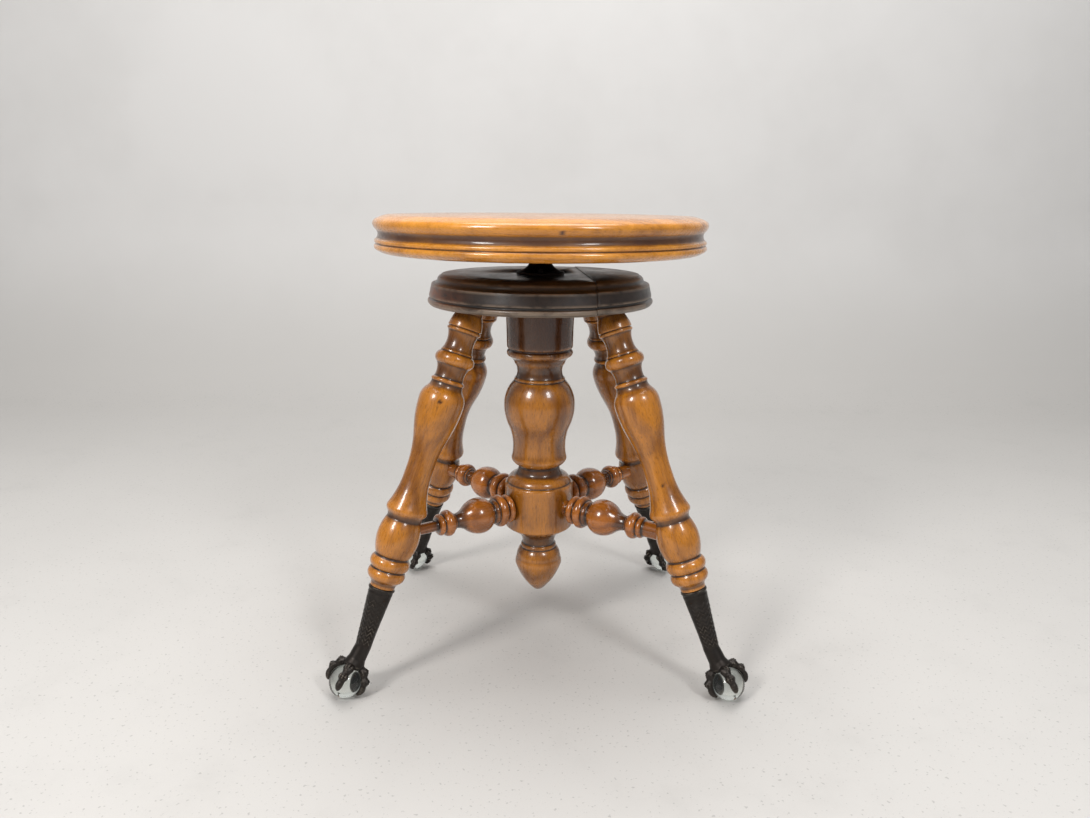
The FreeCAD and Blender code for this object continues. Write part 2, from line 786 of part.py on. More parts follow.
def leg_outline(s, at):
    upper = list(LEG_UPPER)
    upper[0] = ("line", s.leg_tenon_length + LEG_UPPER[0][1], s.leg_tenon_radius)
    waist = at.wood_length + s.leg_tenon_length - schedule_length(upper)
    waist -= schedule_length(LEG_LOWER)
    steps = upper + [("ogee", waist, LEG_WAIST_RADIUS, 0.5)] + LEG_LOWER
    tenon = s.shank_radius
    steps = steps + [("line", 0.0, tenon), ("line", s.socket_depth - 6.0, tenon - 1.0)]
    return outline(s.leg_tenon_radius, steps)


def tenon_radius(s, name):
    return s.slim_tenon_radius if name in SLIM else s.stretcher_tenon_radius - 0.2


def stretcher_span(s, at):
    """Inner end of the hub tenon to the outer end of the leg tenon, uncrept."""
    start = s.hub_radius - s.stretcher_tenon_depth
    end = at.leg_face + s.stretcher_tenon_depth
    return start, end


def claw_pin_shape(s, at, gap):
    middle = at.on_axis(at.wood_length + 11.0)
    half = s.socket_radius - 0.9 + (5.0 if gap > 0 else 0.0)
    side = V(0, 1, 0)
    return rod_between(middle - side * half, middle + side * half, s.claw_pin_diameter / 2 + gap)


def make_leg(doc, writer, s, at, name, azimuth):
    label = "leg_" + name
    blank = revolved(doc, writer, label + "_blank", leg_outline(s, at), "leg")
    turn, rotation = leg_placement(at, azimuth)
    top = turn.multVec(at.on_axis(-s.leg_tenon_length))
    blank.Placement = FreeCAD.Placement(top, rotation)
    start, end = stretcher_span(s, at)
    radius = tenon_radius(s, name) + s.glue_gap
    reach = end + max(CREEP.values()) + 0.3
    mortise = rod_between(V(at.leg_face - 12, 0, at.stretcher_height),
                          V(reach, 0, at.stretcher_height), radius)
    tools = Part.makeCompound([mortise, claw_pin_shape(s, at, s.glue_gap)])
    tools.rotate(V(0, 0, 0), UP, azimuth)
    holes = shaped(doc, label + "_holes", tools)
    return cut_from(doc, label, blank, holes)


def nail_shape(s, at, name, gap):
    """Small nail driven down and outward through the tenon beside the leg."""
    radius = tenon_radius(s, name)
    back = 18.0 if name in SLIM else 5.0
    direction = V(math.sin(math.radians(40)), 0, -math.cos(math.radians(40)))
    spot = V(at.leg_face - back, 0, at.stretcher_height + radius - 0.6)
    length = min(s.nail_length, radius * 1.7)
    shank = Part.makeCylinder(s.nail_diameter / 2 + gap, length, spot, direction)
    head = Part.makeCylinder(s.nail_diameter + gap, 1.0, spot - direction * 0.2, direction)
    return shank.fuse(head).removeSplitter()


def make_stretcher(doc, writer, s, at, name, azimuth):
    label = "stretcher_" + name
    start, end = stretcher_span(s, at)
    tenon = s.stretcher_tenon_depth + HUB_REVEAL
    outer = LEG_REVEAL + s.stretcher_tenon_depth
    fixed = tenon + schedule_length(STRETCHER_INNER) + schedule_length(STRETCHER_OUTER) + outer
    taper = end - start - fixed
    radius = tenon_radius(s, name)
    steps = [("line", tenon, s.stretcher_tenon_radius)] + STRETCHER_INNER
    steps = steps + [("ogee", taper, STRETCHER_NECK_RADIUS, 0.55)] + STRETCHER_OUTER
    steps = steps + [("line", 0.8, radius), ("line", outer - 0.8, radius)]
    key = "slim_stretcher" if name in SLIM else "stretcher"
    blank = revolved(doc, writer, label + "_blank", outline(s.stretcher_tenon_radius, steps), key)
    turn = FreeCAD.Rotation(UP, azimuth)
    point = turn.multVec(V(start + CREEP[name], 0, at.stretcher_height))
    rotation = turn.multiply(FreeCAD.Rotation(V(0, 1, 0), 90))
    blank.Placement = FreeCAD.Placement(point, rotation)
    nail = nail_shape(s, at, name, s.glue_gap)
    nail.rotate(V(0, 0, 0), UP, azimuth)
    hole = shaped(doc, label + "_nail_hole", nail)
    return cut_from(doc, label, blank, hole)


def make_nails(doc, s, at, azimuths):
    nails = []
    for (name, end, side), azimuth in zip(LEGS, azimuths):
        nail = nail_shape(s, at, name, 0.0)
        nail.rotate(V(0, 0, 0), UP, azimuth)
        nails.append(nail)
    return shaped(doc, "stretcher_nails", Part.makeCompound(nails))


# ------------------------------------------------------ claws and balls ----

TOE_ANGLES = [45.0, 135.0, 225.0, 315.0]
# (angle round the ball from the claw's axis, toe radius) down one toe
TOE_SECTIONS = [(12, 5.2), (26, 3.6), (40, 4.5), (53, 3.2), (66, 4.1), (79, 2.9), (90, 3.1), (101, 2.1)]


def ring_wire(centre, normal, radius, side):
    circle = Part.Circle(centre, normal, radius)
    circle.XAxis = side
    return Part.Wire([circle.toShape()])


def make_toe(s, at, centre, axis, out, side):
    sections = []
    reach = s.toe_radius / 3.9
    for angle, radius in TOE_SECTIONS + [(s.toe_reach, 0.9)]:
        turn = math.radians(angle)
        away = axis * math.cos(turn) + out * math.sin(turn)
        ahead = out * math.cos(turn) - axis * math.sin(turn)
        size = radius * reach
        place = centre + away * (at.ball_radius + size * 0.86)
        sections.append(ring_wire(place, ahead, size, side))
    return Part.makeLoft(sections, True, False)


def claw_shape(s, at):
    centre = V(s.foot_circle, 0, at.ball_radius)
    tilt = math.radians(s.claw_tilt)
    axis = V(-math.sin(tilt), 0, math.cos(tilt))
    front = V(math.cos(tilt), 0, math.sin(tilt))
    across = V(0, 1, 0)
    top = at.wood_length + 0.3
    down = at.down
    shank_end = at.axis_length - 34.0
    collar = Part.makeCone(s.socket_radius, s.socket_radius - 0.2, 4.0, at.on_axis(top), down)
    shank = Part.makeCone(s.socket_radius - 0.4, s.shank_radius, shank_end - top,
                          at.on_axis(top), down)
    wrist = [
        ring_wire(at.on_axis(shank_end - 8.0), down, s.shank_radius + 0.35, across),
        ring_wire(at.on_axis(shank_end), (down - axis).normalize(), s.shank_radius + 0.1, across),
        ring_wire(centre + axis * (at.ball_radius + 9.0), axis * -1, s.shank_radius + 0.8, across),
        ring_wire(centre + axis * (at.ball_radius + 3.0), axis * -1, s.shank_radius + 2.4, across),
        ring_wire(centre + axis * (at.ball_radius - 3.0), axis * -1, s.shank_radius + 1.0, across),
    ]
    palm = Part.makeLoft(wrist, True, False)
    toes = []
    for angle in TOE_ANGLES:
        turn = math.radians(angle)
        out = front * math.cos(turn) + across * math.sin(turn)
        side = across * math.cos(turn) - front * math.sin(turn)
        toes.append(make_toe(s, at, centre, axis, out, side))
    solid = shank.fuse([collar, palm] + toes)
    ball = Part.makeSphere(at.ball_radius + s.metal_gap, centre)
    socket = Part.makeCone(s.shank_radius + s.metal_gap, s.shank_radius - 1.0 + s.metal_gap,
                           s.socket_depth - 5.5, at.on_axis(top - 0.3), down)
    return solid.cut([ball, socket, claw_pin_shape(s, at, s.glue_gap)])


def make_claw(doc, s, at, name, azimuth, form):
    claw = shaped(doc, "claw_" + name, form)
    claw.Placement = placed(0, 0, 0, UP, azimuth)
    return claw


def make_ball(doc, s, at, name, azimuth):
    ball = doc.addObject("Part::Sphere", "glass_ball_" + name)
    ball.Label = "glass_ball_" + name
    ball.setExpression("Radius", "Sizes.ball_diameter / 2")
    spot = FreeCAD.Rotation(UP, azimuth).multVec(V(s.foot_circle, 0, at.ball_radius))
    ball.Placement = placed(spot.x, spot.y, spot.z, UP, 0)
    return ball


def make_claw_pins(doc, s, at, azimuths):
    pins = []
    for azimuth in azimuths:
        pin = claw_pin_shape(s, at, 0.0)
        pin.rotate(V(0, 0, 0), UP, azimuth)
        pins.append(pin)
    return shaped(doc, "claw_pins", Part.makeCompound(pins))


# ------------------------------------------------------------- assembly ----

def check(doc, nodes):
    for item in doc.Objects:
        state = list(item.State)
        if "Invalid" in state or "Error" in state:
            raise RuntimeError("%s failed: %s" % (item.Label, state))
    for node in nodes:
        if node.Shape.isNull() or not node.Shape.isValid() or not node.Shape.Solids:
            raise RuntimeError("%s has no sound shape" % node.Label)


def main():
    doc, sheet = new_document()
    writer = SheetWriter(sheet)
    for name, value in SIZES.items():
        writer.add(name, value)
    doc.recompute()
    s = Sizes(sheet)
    at = Layout(s)
    azimuths = [at.azimuth(s, end, side) for name, end, side in LEGS]
    nodes = [
        make_seat(doc, writer, s, at),
        make_plate(doc, s, at),
        make_seat_screws(doc, s, at),
        make_rod(doc, s, at),
        make_pin(doc, s, at),
        make_washer(doc, s, at),
        make_nut(doc, writer, s, at),
        make_nut_screws(doc, s, at),
        make_dowels(doc, s, at),
        make_post(doc, writer, s, at, azimuths),
        make_nails(doc, s, at, azimuths),
        make_claw_pins(doc, s, at, azimuths),
    ]
    nodes.extend(make_disc(doc, writer, s, at, azimuths))
    claw = claw_shape(s, at)
    for (name, end, side), azimuth in zip(LEGS, azimuths):
        nodes.append(make_leg(doc, writer, s, at, name, azimuth))
        nodes.append(make_stretcher(doc, writer, s, at, name, azimuth))
        nodes.append(make_claw(doc, s, at, name, azimuth, claw))
        nodes.append(make_ball(doc, s, at, name, azimuth))
    doc.recompute()
    check(doc, nodes)
    os.makedirs("parts", exist_ok=True)
    for node in nodes:
        node.Shape.exportStep("parts/%s.step" % node.Label)
    print("wrote %d pieces" % len(nodes))


main()
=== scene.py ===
import json
import math

import bmesh
import bpy
import numpy as np
from bpy.props import FloatProperty, FloatVectorProperty, IntProperty, PointerProperty
from mathutils import Matrix, Vector
from mathutils.bvhtree import BVHTree


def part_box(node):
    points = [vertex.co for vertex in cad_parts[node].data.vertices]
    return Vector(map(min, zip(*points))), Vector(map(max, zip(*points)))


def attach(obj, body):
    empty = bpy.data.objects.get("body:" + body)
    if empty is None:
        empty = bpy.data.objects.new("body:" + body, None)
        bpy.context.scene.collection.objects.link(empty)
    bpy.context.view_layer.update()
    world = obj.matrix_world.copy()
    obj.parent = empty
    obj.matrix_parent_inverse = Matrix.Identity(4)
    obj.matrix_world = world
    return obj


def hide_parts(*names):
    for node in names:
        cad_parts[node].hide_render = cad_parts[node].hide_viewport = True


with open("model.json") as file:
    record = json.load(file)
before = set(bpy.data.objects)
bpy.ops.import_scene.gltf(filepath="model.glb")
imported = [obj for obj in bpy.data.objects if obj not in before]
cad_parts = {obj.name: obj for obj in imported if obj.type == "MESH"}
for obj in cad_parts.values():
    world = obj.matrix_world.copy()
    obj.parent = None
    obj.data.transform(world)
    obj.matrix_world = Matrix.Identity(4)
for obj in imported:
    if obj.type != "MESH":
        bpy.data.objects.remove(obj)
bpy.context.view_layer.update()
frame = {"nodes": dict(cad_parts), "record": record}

bl_info = {
    "name": "Piano stool",
    "version": (1, 0, 0),
    "blender": (4, 5, 0),
    "location": "3D View > Sidebar > Stool",
    "description": "Finishes a revolving piano stool with turned wood, iron claws and glass balls",
    "category": "Object",
}

CORNERS = ["front_left", "front_right", "back_right", "back_left"]
MM = 0.001

# outlines: distance between stations, and how closely they are thinned
LINE_PITCH = 0.2 * MM
RIM_PITCH = 0.12 * MM
THIN_SLACK = 0.018 * MM
LONGEST_RING = 3.2 * MM
# widths, in line points, over which an outline is averaged for its grooves and its necks
GROOVE_WIDTH = 9.0
NECK_WIDTH = 45.0
# claws
CLAW_TILT = 32.0
CLAW_SKIN = 0.5 * MM
BALL_GAP = 0.25 * MM
TOE_SEAT = 0.72
TOE_COUNT = 4
ZIGZAG_ROWS = 10
ZIGZAG_BEADS = 44


# ---------------------------------------------------------- user values ----

def srgb(red, green, blue):
    """Colour given as 0 to 255, as the linear value that shading uses."""
    parts = []
    for value in (red, green, blue):
        share = value / 255.0
        parts.append(share / 12.92 if share <= 0.04045 else ((share + 0.055) / 1.055) ** 2.4)
    return parts


def colour(name, text, value):
    return FloatVectorProperty(name=name, description=text, subtype="COLOR", size=3,
                               min=0.0, max=1.0, default=srgb(*value))


class StoolSettings(bpy.types.PropertyGroup):
    honey: colour("Seat varnish", "Light colour of the seat's wood", (216, 142, 40))
    amber: colour("Turned wood", "Light colour of the legs and the post", (196, 124, 34))
    russet: colour("Stretcher wood", "Light colour of the stretchers", (178, 104, 30))
    umber: colour("Disc wood", "Colour of the dark disc under the seat", (50, 38, 31))
    iron: colour("Iron", "Colour of the cast claws", (54, 50, 47))
    floor: colour("Floor", "Colour of the studio floor", (200, 197, 193))
    backdrop: colour("Backdrop", "Colour of the studio backdrop", (212, 210, 208))
    corner: FloatProperty(name="Corner softness", description="How far sharp corners are eased",
                          default=0.0004, min=0.0001, max=0.002, unit="LENGTH",
                          subtype="DISTANCE")
    dents: FloatProperty(name="Dents", description="Depth of the handling marks in the wood",
                         default=0.00012, min=0.0, max=0.001, unit="LENGTH", subtype="DISTANCE")
    bead: FloatProperty(name="Knuckle bead", description="Radius of the small beads on the claws",
                        default=0.00115, min=0.0005, max=0.003, unit="LENGTH",
                        subtype="DISTANCE")
    toe_beads: IntProperty(name="Beads in a row", description="Beads in each knuckle row",
                           default=5, min=3, max=9)


# ------------------------------------------------------------ materials ----

class Sock:
    """One output of a node, ready for arithmetic."""

    def __init__(self, graph, socket):
        self.graph = graph
        self.socket = socket

    def __add__(self, other):
        return self.graph.math("ADD", self, other)

    def __sub__(self, other):
        return self.graph.math("SUBTRACT", self, other)

    def __rsub__(self, other):
        return self.graph.math("SUBTRACT", other, self)

    def __mul__(self, other):
        return self.graph.math("MULTIPLY", self, other)

    def __truediv__(self, other):
        return self.graph.math("DIVIDE", self, other)

    def __pow__(self, other):
        return self.graph.math("POWER", self, other)

    __radd__ = __add__
    __rmul__ = __mul__

    def step(self, low, high, start=0.0, end=1.0):
        """Smooth rise from start to end as the value goes from low to high."""
        node = self.graph.node("ShaderNodeMapRange", {"interpolation_type": "SMOOTHSTEP"},
                               {"Value": self, "From Min": low, "From Max": high,
                                "To Min": start, "To Max": end})
        return Sock(self.graph, node.outputs["Result"])


class Graph:
    """A material's node tree."""

    def __init__(self, name):
        self.material = bpy.data.materials.new(name)
        self.material.use_nodes = True
        self.tree = self.material.node_tree
        self.tree.nodes.clear()
        self.out = self.node("ShaderNodeOutputMaterial")

    def node(self, kind, settings=None, inputs=None):
        made = self.tree.nodes.new(kind)
        for key, value in (settings or {}).items():
            setattr(made, key, value)
        for key, value in (inputs or {}).items():
            self.feed(made.inputs[key], value)
        return made

    def feed(self, socket, value):
        if isinstance(value, Sock):
            self.tree.links.new(value.socket, socket)
        elif hasattr(value, "__len__") and len(value) == 3 and socket.type == "RGBA":
            socket.default_value = list(value) + [1.0]
        else:
            socket.default_value = value

    def math(self, operation, first, second):
        made = self.node("ShaderNodeMath", {"operation": operation}, {0: first, 1: second})
        return Sock(self, made.outputs[0])

    def mix(self, factor, first, second):
        made = self.node("ShaderNodeMix", {"data_type": "RGBA"}, {0: factor, 6: first, 7: second})
        return Sock(self, made.outputs[2])

    def place(self, name=None):
        """Coordinates: the named attribute, or the object's own."""
        if name is None:
            return Sock(self, self.node("ShaderNodeTexCoord").outputs["Object"])
        node = self.node("ShaderNodeAttribute", {"attribute_name": name})
        return Sock(self, node.outputs["Vector"])

    def value(self, name):
        node = self.node("ShaderNodeAttribute", {"attribute_name": name})
        return Sock(self, node.outputs["Fac"])

    def mapped(self, place, scale, turn=(0, 0, 0)):
        node = self.node("ShaderNodeMapping", None,
                         {"Vector": place, "Scale": scale, "Rotation": turn})
        return Sock(self, node.outputs["Vector"])

    def noise(self, place, scale, detail=2.0, rough=0.5, twist=0.0):
        node = self.node("ShaderNodeTexNoise", None,
                         {"Vector": place, "Scale": scale, "Detail": detail,
                          "Roughness": rough, "Distortion": twist})
        return Sock(self, node.outputs["Fac"])

    def waves(self, place, scale, twist):
        node = self.node("ShaderNodeTexWave", {"wave_type": "RINGS", "rings_direction": "Z"},
                         {"Vector": place, "Scale": scale, "Distortion": twist,
                          "Detail": 3.0, "Detail Scale": 1.2, "Detail Roughness": 0.6})
        return Sock(self, node.outputs["Fac"])

    def bump(self, height, strength, distance):
        node = self.node("ShaderNodeBump", None,
                         {"Height": height, "Strength": strength, "Distance": distance})
        return Sock(self, node.outputs["Normal"])

    def surface(self, **inputs):
        named = {key.replace("_", " "): value for key, value in inputs.items()}
        node = self.node("ShaderNodeBsdfPrincipled", None, named)
        self.tree.links.new(node.outputs[0], self.out.inputs["Surface"])
        return self.material


def shade(value, amount):
    return [part * amount for part in value]


def wood(name, light, dark, flecks, rough, coat, groove_shade, ring=26.0, lines=0.3, top_shade=None):
    """Turned and varnished wood: its grain runs along the third grain coordinate."""
    g = Graph(name)
    at = g.place("grain")
    rings = g.waves(g.mapped(at, (1.0, 1.0, 0.06)), ring, 5.0)
    broad = g.noise(g.mapped(at, (14.0, 14.0, 3.0)), 1.0, 3.0, 0.55, 0.4)
    fibre = g.noise(g.mapped(at, (900.0, 900.0, 26.0)), 1.0, 3.0, 0.6)
    streak = g.noise(g.mapped(at, (230.0, 230.0, 7.0)), 1.0, 3.0, 0.6, 0.3)
    fleck = g.noise(g.mapped(at, (900.0, 900.0, 150.0)), 1.0, 1.0, 0.4)
    fleck = fleck.step(0.60, 0.70) * flecks
    tone = rings * lines + broad * 0.5 + streak * 0.55 - 0.15
    base = g.mix(tone.step(0.2, 1.05), light, dark)
    cloud = g.noise(g.mapped(at, (30.0, 30.0, 22.0)), 1.0, 4.0, 0.6)
    base = g.mix(cloud.step(0.42, 0.75) * 0.55, base, shade(dark, 0.7))
    base = g.mix(fibre.step(0.45, 0.75) * 0.35, base, shade(dark, 0.8))
    base = g.mix(fleck, base, shade(dark, 0.55))
    hollow = g.value("hollow")
    groove = hollow.step(0.01, 0.34)
    crest = (hollow * -1.0).step(0.08, 0.5)
    shade_and_highlight_patches = g.noise(g.mapped(at, (90.0, 90.0, 60.0)), 1.0, 4.0, 0.65)
    # painted shade: the grooves darkened nearly to black, broken into patches
    base = g.mix(groove * groove_shade * shade_and_highlight_patches.step(0.15, 0.6, 0.6, 1.0), base, shade(dark, 0.1))
    # painted shade: the top of the post, under the disc, darkened to deep red-brown
    if top_shade is not None:
        split = g.node("ShaderNodeSeparateXYZ", None, {"Vector": at})
        station = Sock(g, split.outputs["Z"]) + cloud * 0.02
        base = g.mix(station.step(top_shade[0], top_shade[1]) * top_shade[2], base, srgb(58, 24, 8))
    # painted highlight: the crests lightened in patches
    crest_highlight = crest * shade_and_highlight_patches.step(0.35, 0.7) * 0.45
    base = g.mix(crest_highlight, base, [min(1.0, part * 1.5 + 0.04) for part in light])
    # painted shade: the broad necks darkened in clouds
    neck = g.value("neck").step(0.15, 2.2) * cloud.step(0.2, 0.6, 0.55, 1.0)
    base = g.mix(neck * 0.85, base, shade(dark, 0.3))
    # painted highlight: the broad swells lightened along the streaks
    swell = (g.value("neck") * -1.0).step(0.2, 1.6) * streak.step(0.35, 0.7)
    base = g.mix(swell * 0.4, base, [min(1.0, part * 1.35 + 0.02) for part in light])
    bare = g.value("bare")
    base = g.mix(bare, base, shade(dark, 0.3))
    scuff = g.noise(g.mapped(at, (300.0, 300.0, 90.0)), 1.0, 5.0, 0.7)
    gloss = scuff.step(0.3, 0.8, rough, rough + 0.22) + groove * 0.2
    skin = fibre * 0.35 + fleck * -0.6 + scuff * 0.25 + bare * -0.8
    return g.surface(Base_Color=base, Roughness=gloss, Coat_Weight=coat, Coat_Roughness=0.09,
                     Coat_IOR=1.5, Normal=g.bump(skin, 0.25, 0.0004))


def disc_wood(name, dark, brown):
    """Nearly black wood worn through to red-brown at one side, with a painted grey highlight along
    its edges and painted shade in its hollows.
    """
    g = Graph(name)
    at = g.place("grain")
    place = g.place()
    streak = g.noise(g.mapped(at, (160.0, 160.0, 6.0)), 1.0, 4.0, 0.6, 0.3)
    fibre = g.noise(g.mapped(at, (1100.0, 1100.0, 30.0)), 1.0, 3.0, 0.6)
    wear_and_sheen = g.noise(g.mapped(place, (28.0, 28.0, 60.0)), 1.0, 5.0, 0.65, 0.5)
    split = g.node("ShaderNodeSeparateXYZ", None, {"Vector": place})
    across = Sock(g, split.outputs["X"])
    left = (across * -1.0).step(0.06, 0.118) * wear_and_sheen.step(0.3, 0.6)
    base = g.mix(streak.step(0.35, 0.75), dark, shade(dark, 0.5))
    base = g.mix(left * 0.85, base, brown)
    crest = (g.value("hollow") * -1.0).step(0.06, 0.4)
    # painted highlight: the crests lightened to grey in patches
    base = g.mix(crest * wear_and_sheen.step(0.3, 0.6) * 0.75, base, srgb(140, 122, 104))
    # painted shade: the hollows darkened almost to black
    base = g.mix(g.value("hollow").step(0.05, 0.4) * 0.8, base, srgb(14, 10, 8))
    gloss = wear_and_sheen.step(0.25, 0.8, 0.3, 0.55)
    skin = fibre * 0.5 + wear_and_sheen * 0.4
    return g.surface(Base_Color=base, Roughness=gloss, Coat_Weight=0.3, Coat_Roughness=0.2,
                     Normal=g.bump(skin, 0.3, 0.0005))


def cast_iron(name, base_colour):
    """Dark japanned iron, lighter on its crests as wear and as a painted highlight, with painted
    shade in its hollows.
    """
    g = Graph(name)
    at = g.place()
    grain = g.noise(g.mapped(at, (900.0, 900.0, 900.0)), 1.0, 4.0, 0.6)
    patch = g.noise(g.mapped(at, (95.0, 95.0, 95.0)), 1.0, 4.0, 0.6)
    # crests lightened: partly wear, partly a painted highlight
    worn = (g.value("hollow") * -1.0).step(0.05, 0.4)
    base = g.mix(patch.step(0.3, 0.7), base_colour, srgb(44, 38, 34))
    base = g.mix(worn * patch.step(0.4, 0.7) * 0.8, base, srgb(134, 126, 114))
    # painted shade: the hollows darkened almost to black
    base = g.mix(g.value("hollow").step(0.04, 0.3) * 0.8, base, srgb(14, 11, 9))
    gloss = patch.step(0.3, 0.7, 0.28, 0.5)
    return g.surface(Base_Color=base, Metallic=0.75, Roughness=gloss,
                     Normal=g.bump(grain, 0.3, 0.0004))


def metal(name, value, worn, rough):
    """Machined steel or iron with tarnish and fine marks."""
    g = Graph(name)
    at = g.place()
    patch = g.noise(g.mapped(at, (120.0, 120.0, 160.0)), 1.0, 5.0, 0.65)
    marks = g.noise(g.mapped(at, (500.0, 500.0, 2600.0)), 1.0, 2.0, 0.5)
    base = g.mix(patch.step(0.4, 0.7), value, worn)
    gloss = patch.step(0.3, 0.7, rough, rough + 0.25)
    return g.surface(Base_Color=base, Metallic=0.9, Roughness=gloss,
                     Normal=g.bump(marks, 0.15, 0.0002))


def plain(name, value, other, scale, rough):
    """Dowel wood or leather: two close tones and a fine texture."""
    g = Graph(name)
    spots = g.noise(g.mapped(g.place(), (scale, scale, scale)), 1.0, 4.0, 0.6)
    return g.surface(Base_Color=g.mix(spots, value, other), Roughness=rough,
                     Normal=g.bump(spots, 0.3, 0.0004))


def glass(name):
    g = Graph(name)
    return g.surface(Base_Color=srgb(232, 238, 234), Roughness=0.015, IOR=1.5,
                     Transmission_Weight=1.0)


def floor_surface(name, value, far):
    """Pale concrete with faint specks, and painted shade that makes it a little darker towards the
    backdrop.
    """
    g = Graph(name)
    at = g.place()
    split = g.node("ShaderNodeSeparateXYZ", None, {"Vector": at})
    depth = Sock(g, split.outputs["Y"])
    height = Sock(g, split.outputs["Z"])
    cloud = g.noise(g.mapped(at, (2.2, 2.2, 2.2)), 1.0, 4.0, 0.6)
    speck = g.noise(g.mapped(at, (260.0, 260.0, 260.0)), 1.0, 1.0, 0.5)
    # painted shade: the floor darkened towards the backdrop
    base = g.mix(depth.step(-0.5, 0.95) * 0.9, value, shade(value, 0.74))
    base = g.mix(height.step(0.02, 0.55), base, far)
    base = g.mix(cloud.step(0.35, 0.75) * 0.16, base, shade(value, 0.7))
    level = height.step(0.0, 0.05, 1.0, 0.0)
    blot = g.noise(g.mapped(at, (9.0, 9.0, 9.0)), 1.0, 6.0, 0.7)
    base = g.mix(blot.step(0.5, 0.8) * 0.16 * level, base, shade(value, 0.55))
    base = g.mix(speck.step(0.66, 0.74) * 0.4 * level, base, shade(value, 0.35))
    fine = g.noise(g.mapped(at, (900.0, 900.0, 900.0)), 1.0, 3.0, 0.6)
    base = g.mix(fine.step(0.4, 0.8) * 0.12 * level, base, shade(value, 0.6))
    return g.surface(Base_Color=base, Roughness=0.75, Normal=g.bump(speck, 0.05, 0.0004))


def make_materials(settings):
    amber = settings.amber
    return {
        "honey": wood("honey_wood", settings.honey, srgb(120, 58, 10), 0.3, 0.2, 0.6, 0.85,
                      ring=9.0, lines=0.16),
        "amber": wood("amber_wood", amber, srgb(98, 50, 12), 0.4, 0.22, 0.65, 0.95),
        "post": wood("post_wood", shade(amber, 0.85), srgb(84, 40, 10), 0.4, 0.22, 0.65, 0.95,
                     top_shade=(0.275, 0.305, 0.85)),
        "russet": wood("russet_wood", settings.russet, srgb(82, 40, 12), 0.35, 0.16, 0.8, 0.95),
        "umber": disc_wood("umber_wood", settings.umber, srgb(128, 70, 34)),
        "iron": cast_iron("cast_iron", settings.iron),
        "dark_iron": metal("dark_iron", srgb(48, 42, 38), srgb(70, 52, 40), 0.38),
        "steel": metal("worn_steel", srgb(120, 116, 110), srgb(74, 62, 52), 0.3),
        "leather": plain("leather", srgb(92, 56, 30), srgb(64, 38, 20), 700.0, 0.75),
        "pale": plain("pale_wood", srgb(214, 182, 134), srgb(190, 154, 104), 400.0, 0.6),
        "glass": glass("clear_glass"),
        "floor": floor_surface("floor", settings.floor, settings.backdrop),
    }


# ------------------------------------------------------- reading pieces ----

def coordinates(node):
    mesh = frame["nodes"][node].data
    co = np.zeros(len(mesh.vertices) * 3)
    mesh.vertices.foreach_get("co", co)
    return co.reshape(-1, 3)


def tree_of(node):
    mesh = frame["nodes"][node].data
    faces = [tuple(face.vertices) for face in mesh.polygons]
    return BVHTree.FromPolygons([tuple(v) for v in coordinates(node)], faces)


def sides(along):
    """Two unit vectors square to a direction, the first one level where it can be."""
    helper = np.array([0.0, 0.0, 1.0]) if abs(along[2]) < 0.99 else np.array([1.0, 0.0, 0.0])
    first = np.cross(helper, along)
    first /= np.linalg.norm(first)
    return first, np.cross(along, first)


def circle_centre(points, along):
    """Centre of the circle that an end's points lie on."""
    first, second = sides(along)
    x = points @ first
    y = points @ second
    table = np.column_stack([2 * x, 2 * y, np.ones(len(x))])
    found = np.linalg.lstsq(table, x * x + y * y, rcond=None)[0]
    return first * found[0] + second * found[1] + along * (points @ along).mean()


def axis_of(node, downward):
    """Start, direction and length of a turned piece, from its two end circles."""
    co = np.unique(np.round(coordinates(node), 7), axis=0)
    along = np.linalg.svd(co - co.mean(0), full_matrices=False)[2][0]
    if along @ downward < 0:
        along = -along
    for slack in (1.2 * MM, 0.4 * MM, 0.05 * MM, 0.05 * MM):
        station = co @ along
        start = circle_centre(co[station < station.min() + slack], along)
        end = circle_centre(co[station > station.max() - slack], along)
        along = (end - start) / np.linalg.norm(end - start)
    return start, along, np.linalg.norm(end - start)


def radius_at(tree, start, along, station, angles, inner=False):
    """Radius of a turned piece at one station, cast from outside or from its axis."""
    first, second = sides(along)
    centre = start + along * station
    found = []
    for angle in angles:
        out = first * math.cos(angle) + second * math.sin(angle)
        source = centre if inner else centre + out * 0.3
        hit = tree.ray_cast(Vector(source), Vector(out if inner else -out), 0.3)[0]
        if hit is not None:
            found.append((np.array(hit) - centre) @ out)
    if not found:
        return 0.0
    return max(min(found), 0.0) if inner else max(max(found), 0.0)


def stations(length, pitch):
    """Even stations with closer ones near both ends."""
    body = np.arange(pitch, length - pitch / 2, pitch)
    ends = np.array([0.004, 0.03, 0.08, 0.15, 0.25, 0.4, 0.6, 0.8]) * MM
    return np.unique(np.concatenate([ends, body, length - ends]))


def soften(points, pitch, ease):
    """Evenly spaced copy of an outline with its sharp corners eased."""
    points = np.array(points)
    run = np.concatenate([[0], np.cumsum(np.linalg.norm(np.diff(points, axis=0), axis=1))])
    count = max(8, int(run[-1] / pitch))
    even = np.linspace(0, run[-1], count)
    line = np.column_stack([np.interp(even, run, points[:, 0]),
                            np.interp(even, run, points[:, 1])])
    return blurred(line, ease / pitch)


def blurred(line, width):
    reach = max(1, int(width * 3))
    reach = min(reach, len(line) - 1)
    kernel = np.exp(-0.5 * (np.arange(-reach, reach + 1) / width) ** 2)
    kernel /= kernel.sum()
    before = 2 * line[0] - line[reach:0:-1]
    after = 2 * line[-1] - line[-2:-reach - 2:-1]
    padded = np.vstack([before, line, after])
    return np.column_stack([np.convolve(padded[:, k], kernel, "valid") for k in (0, 1)])


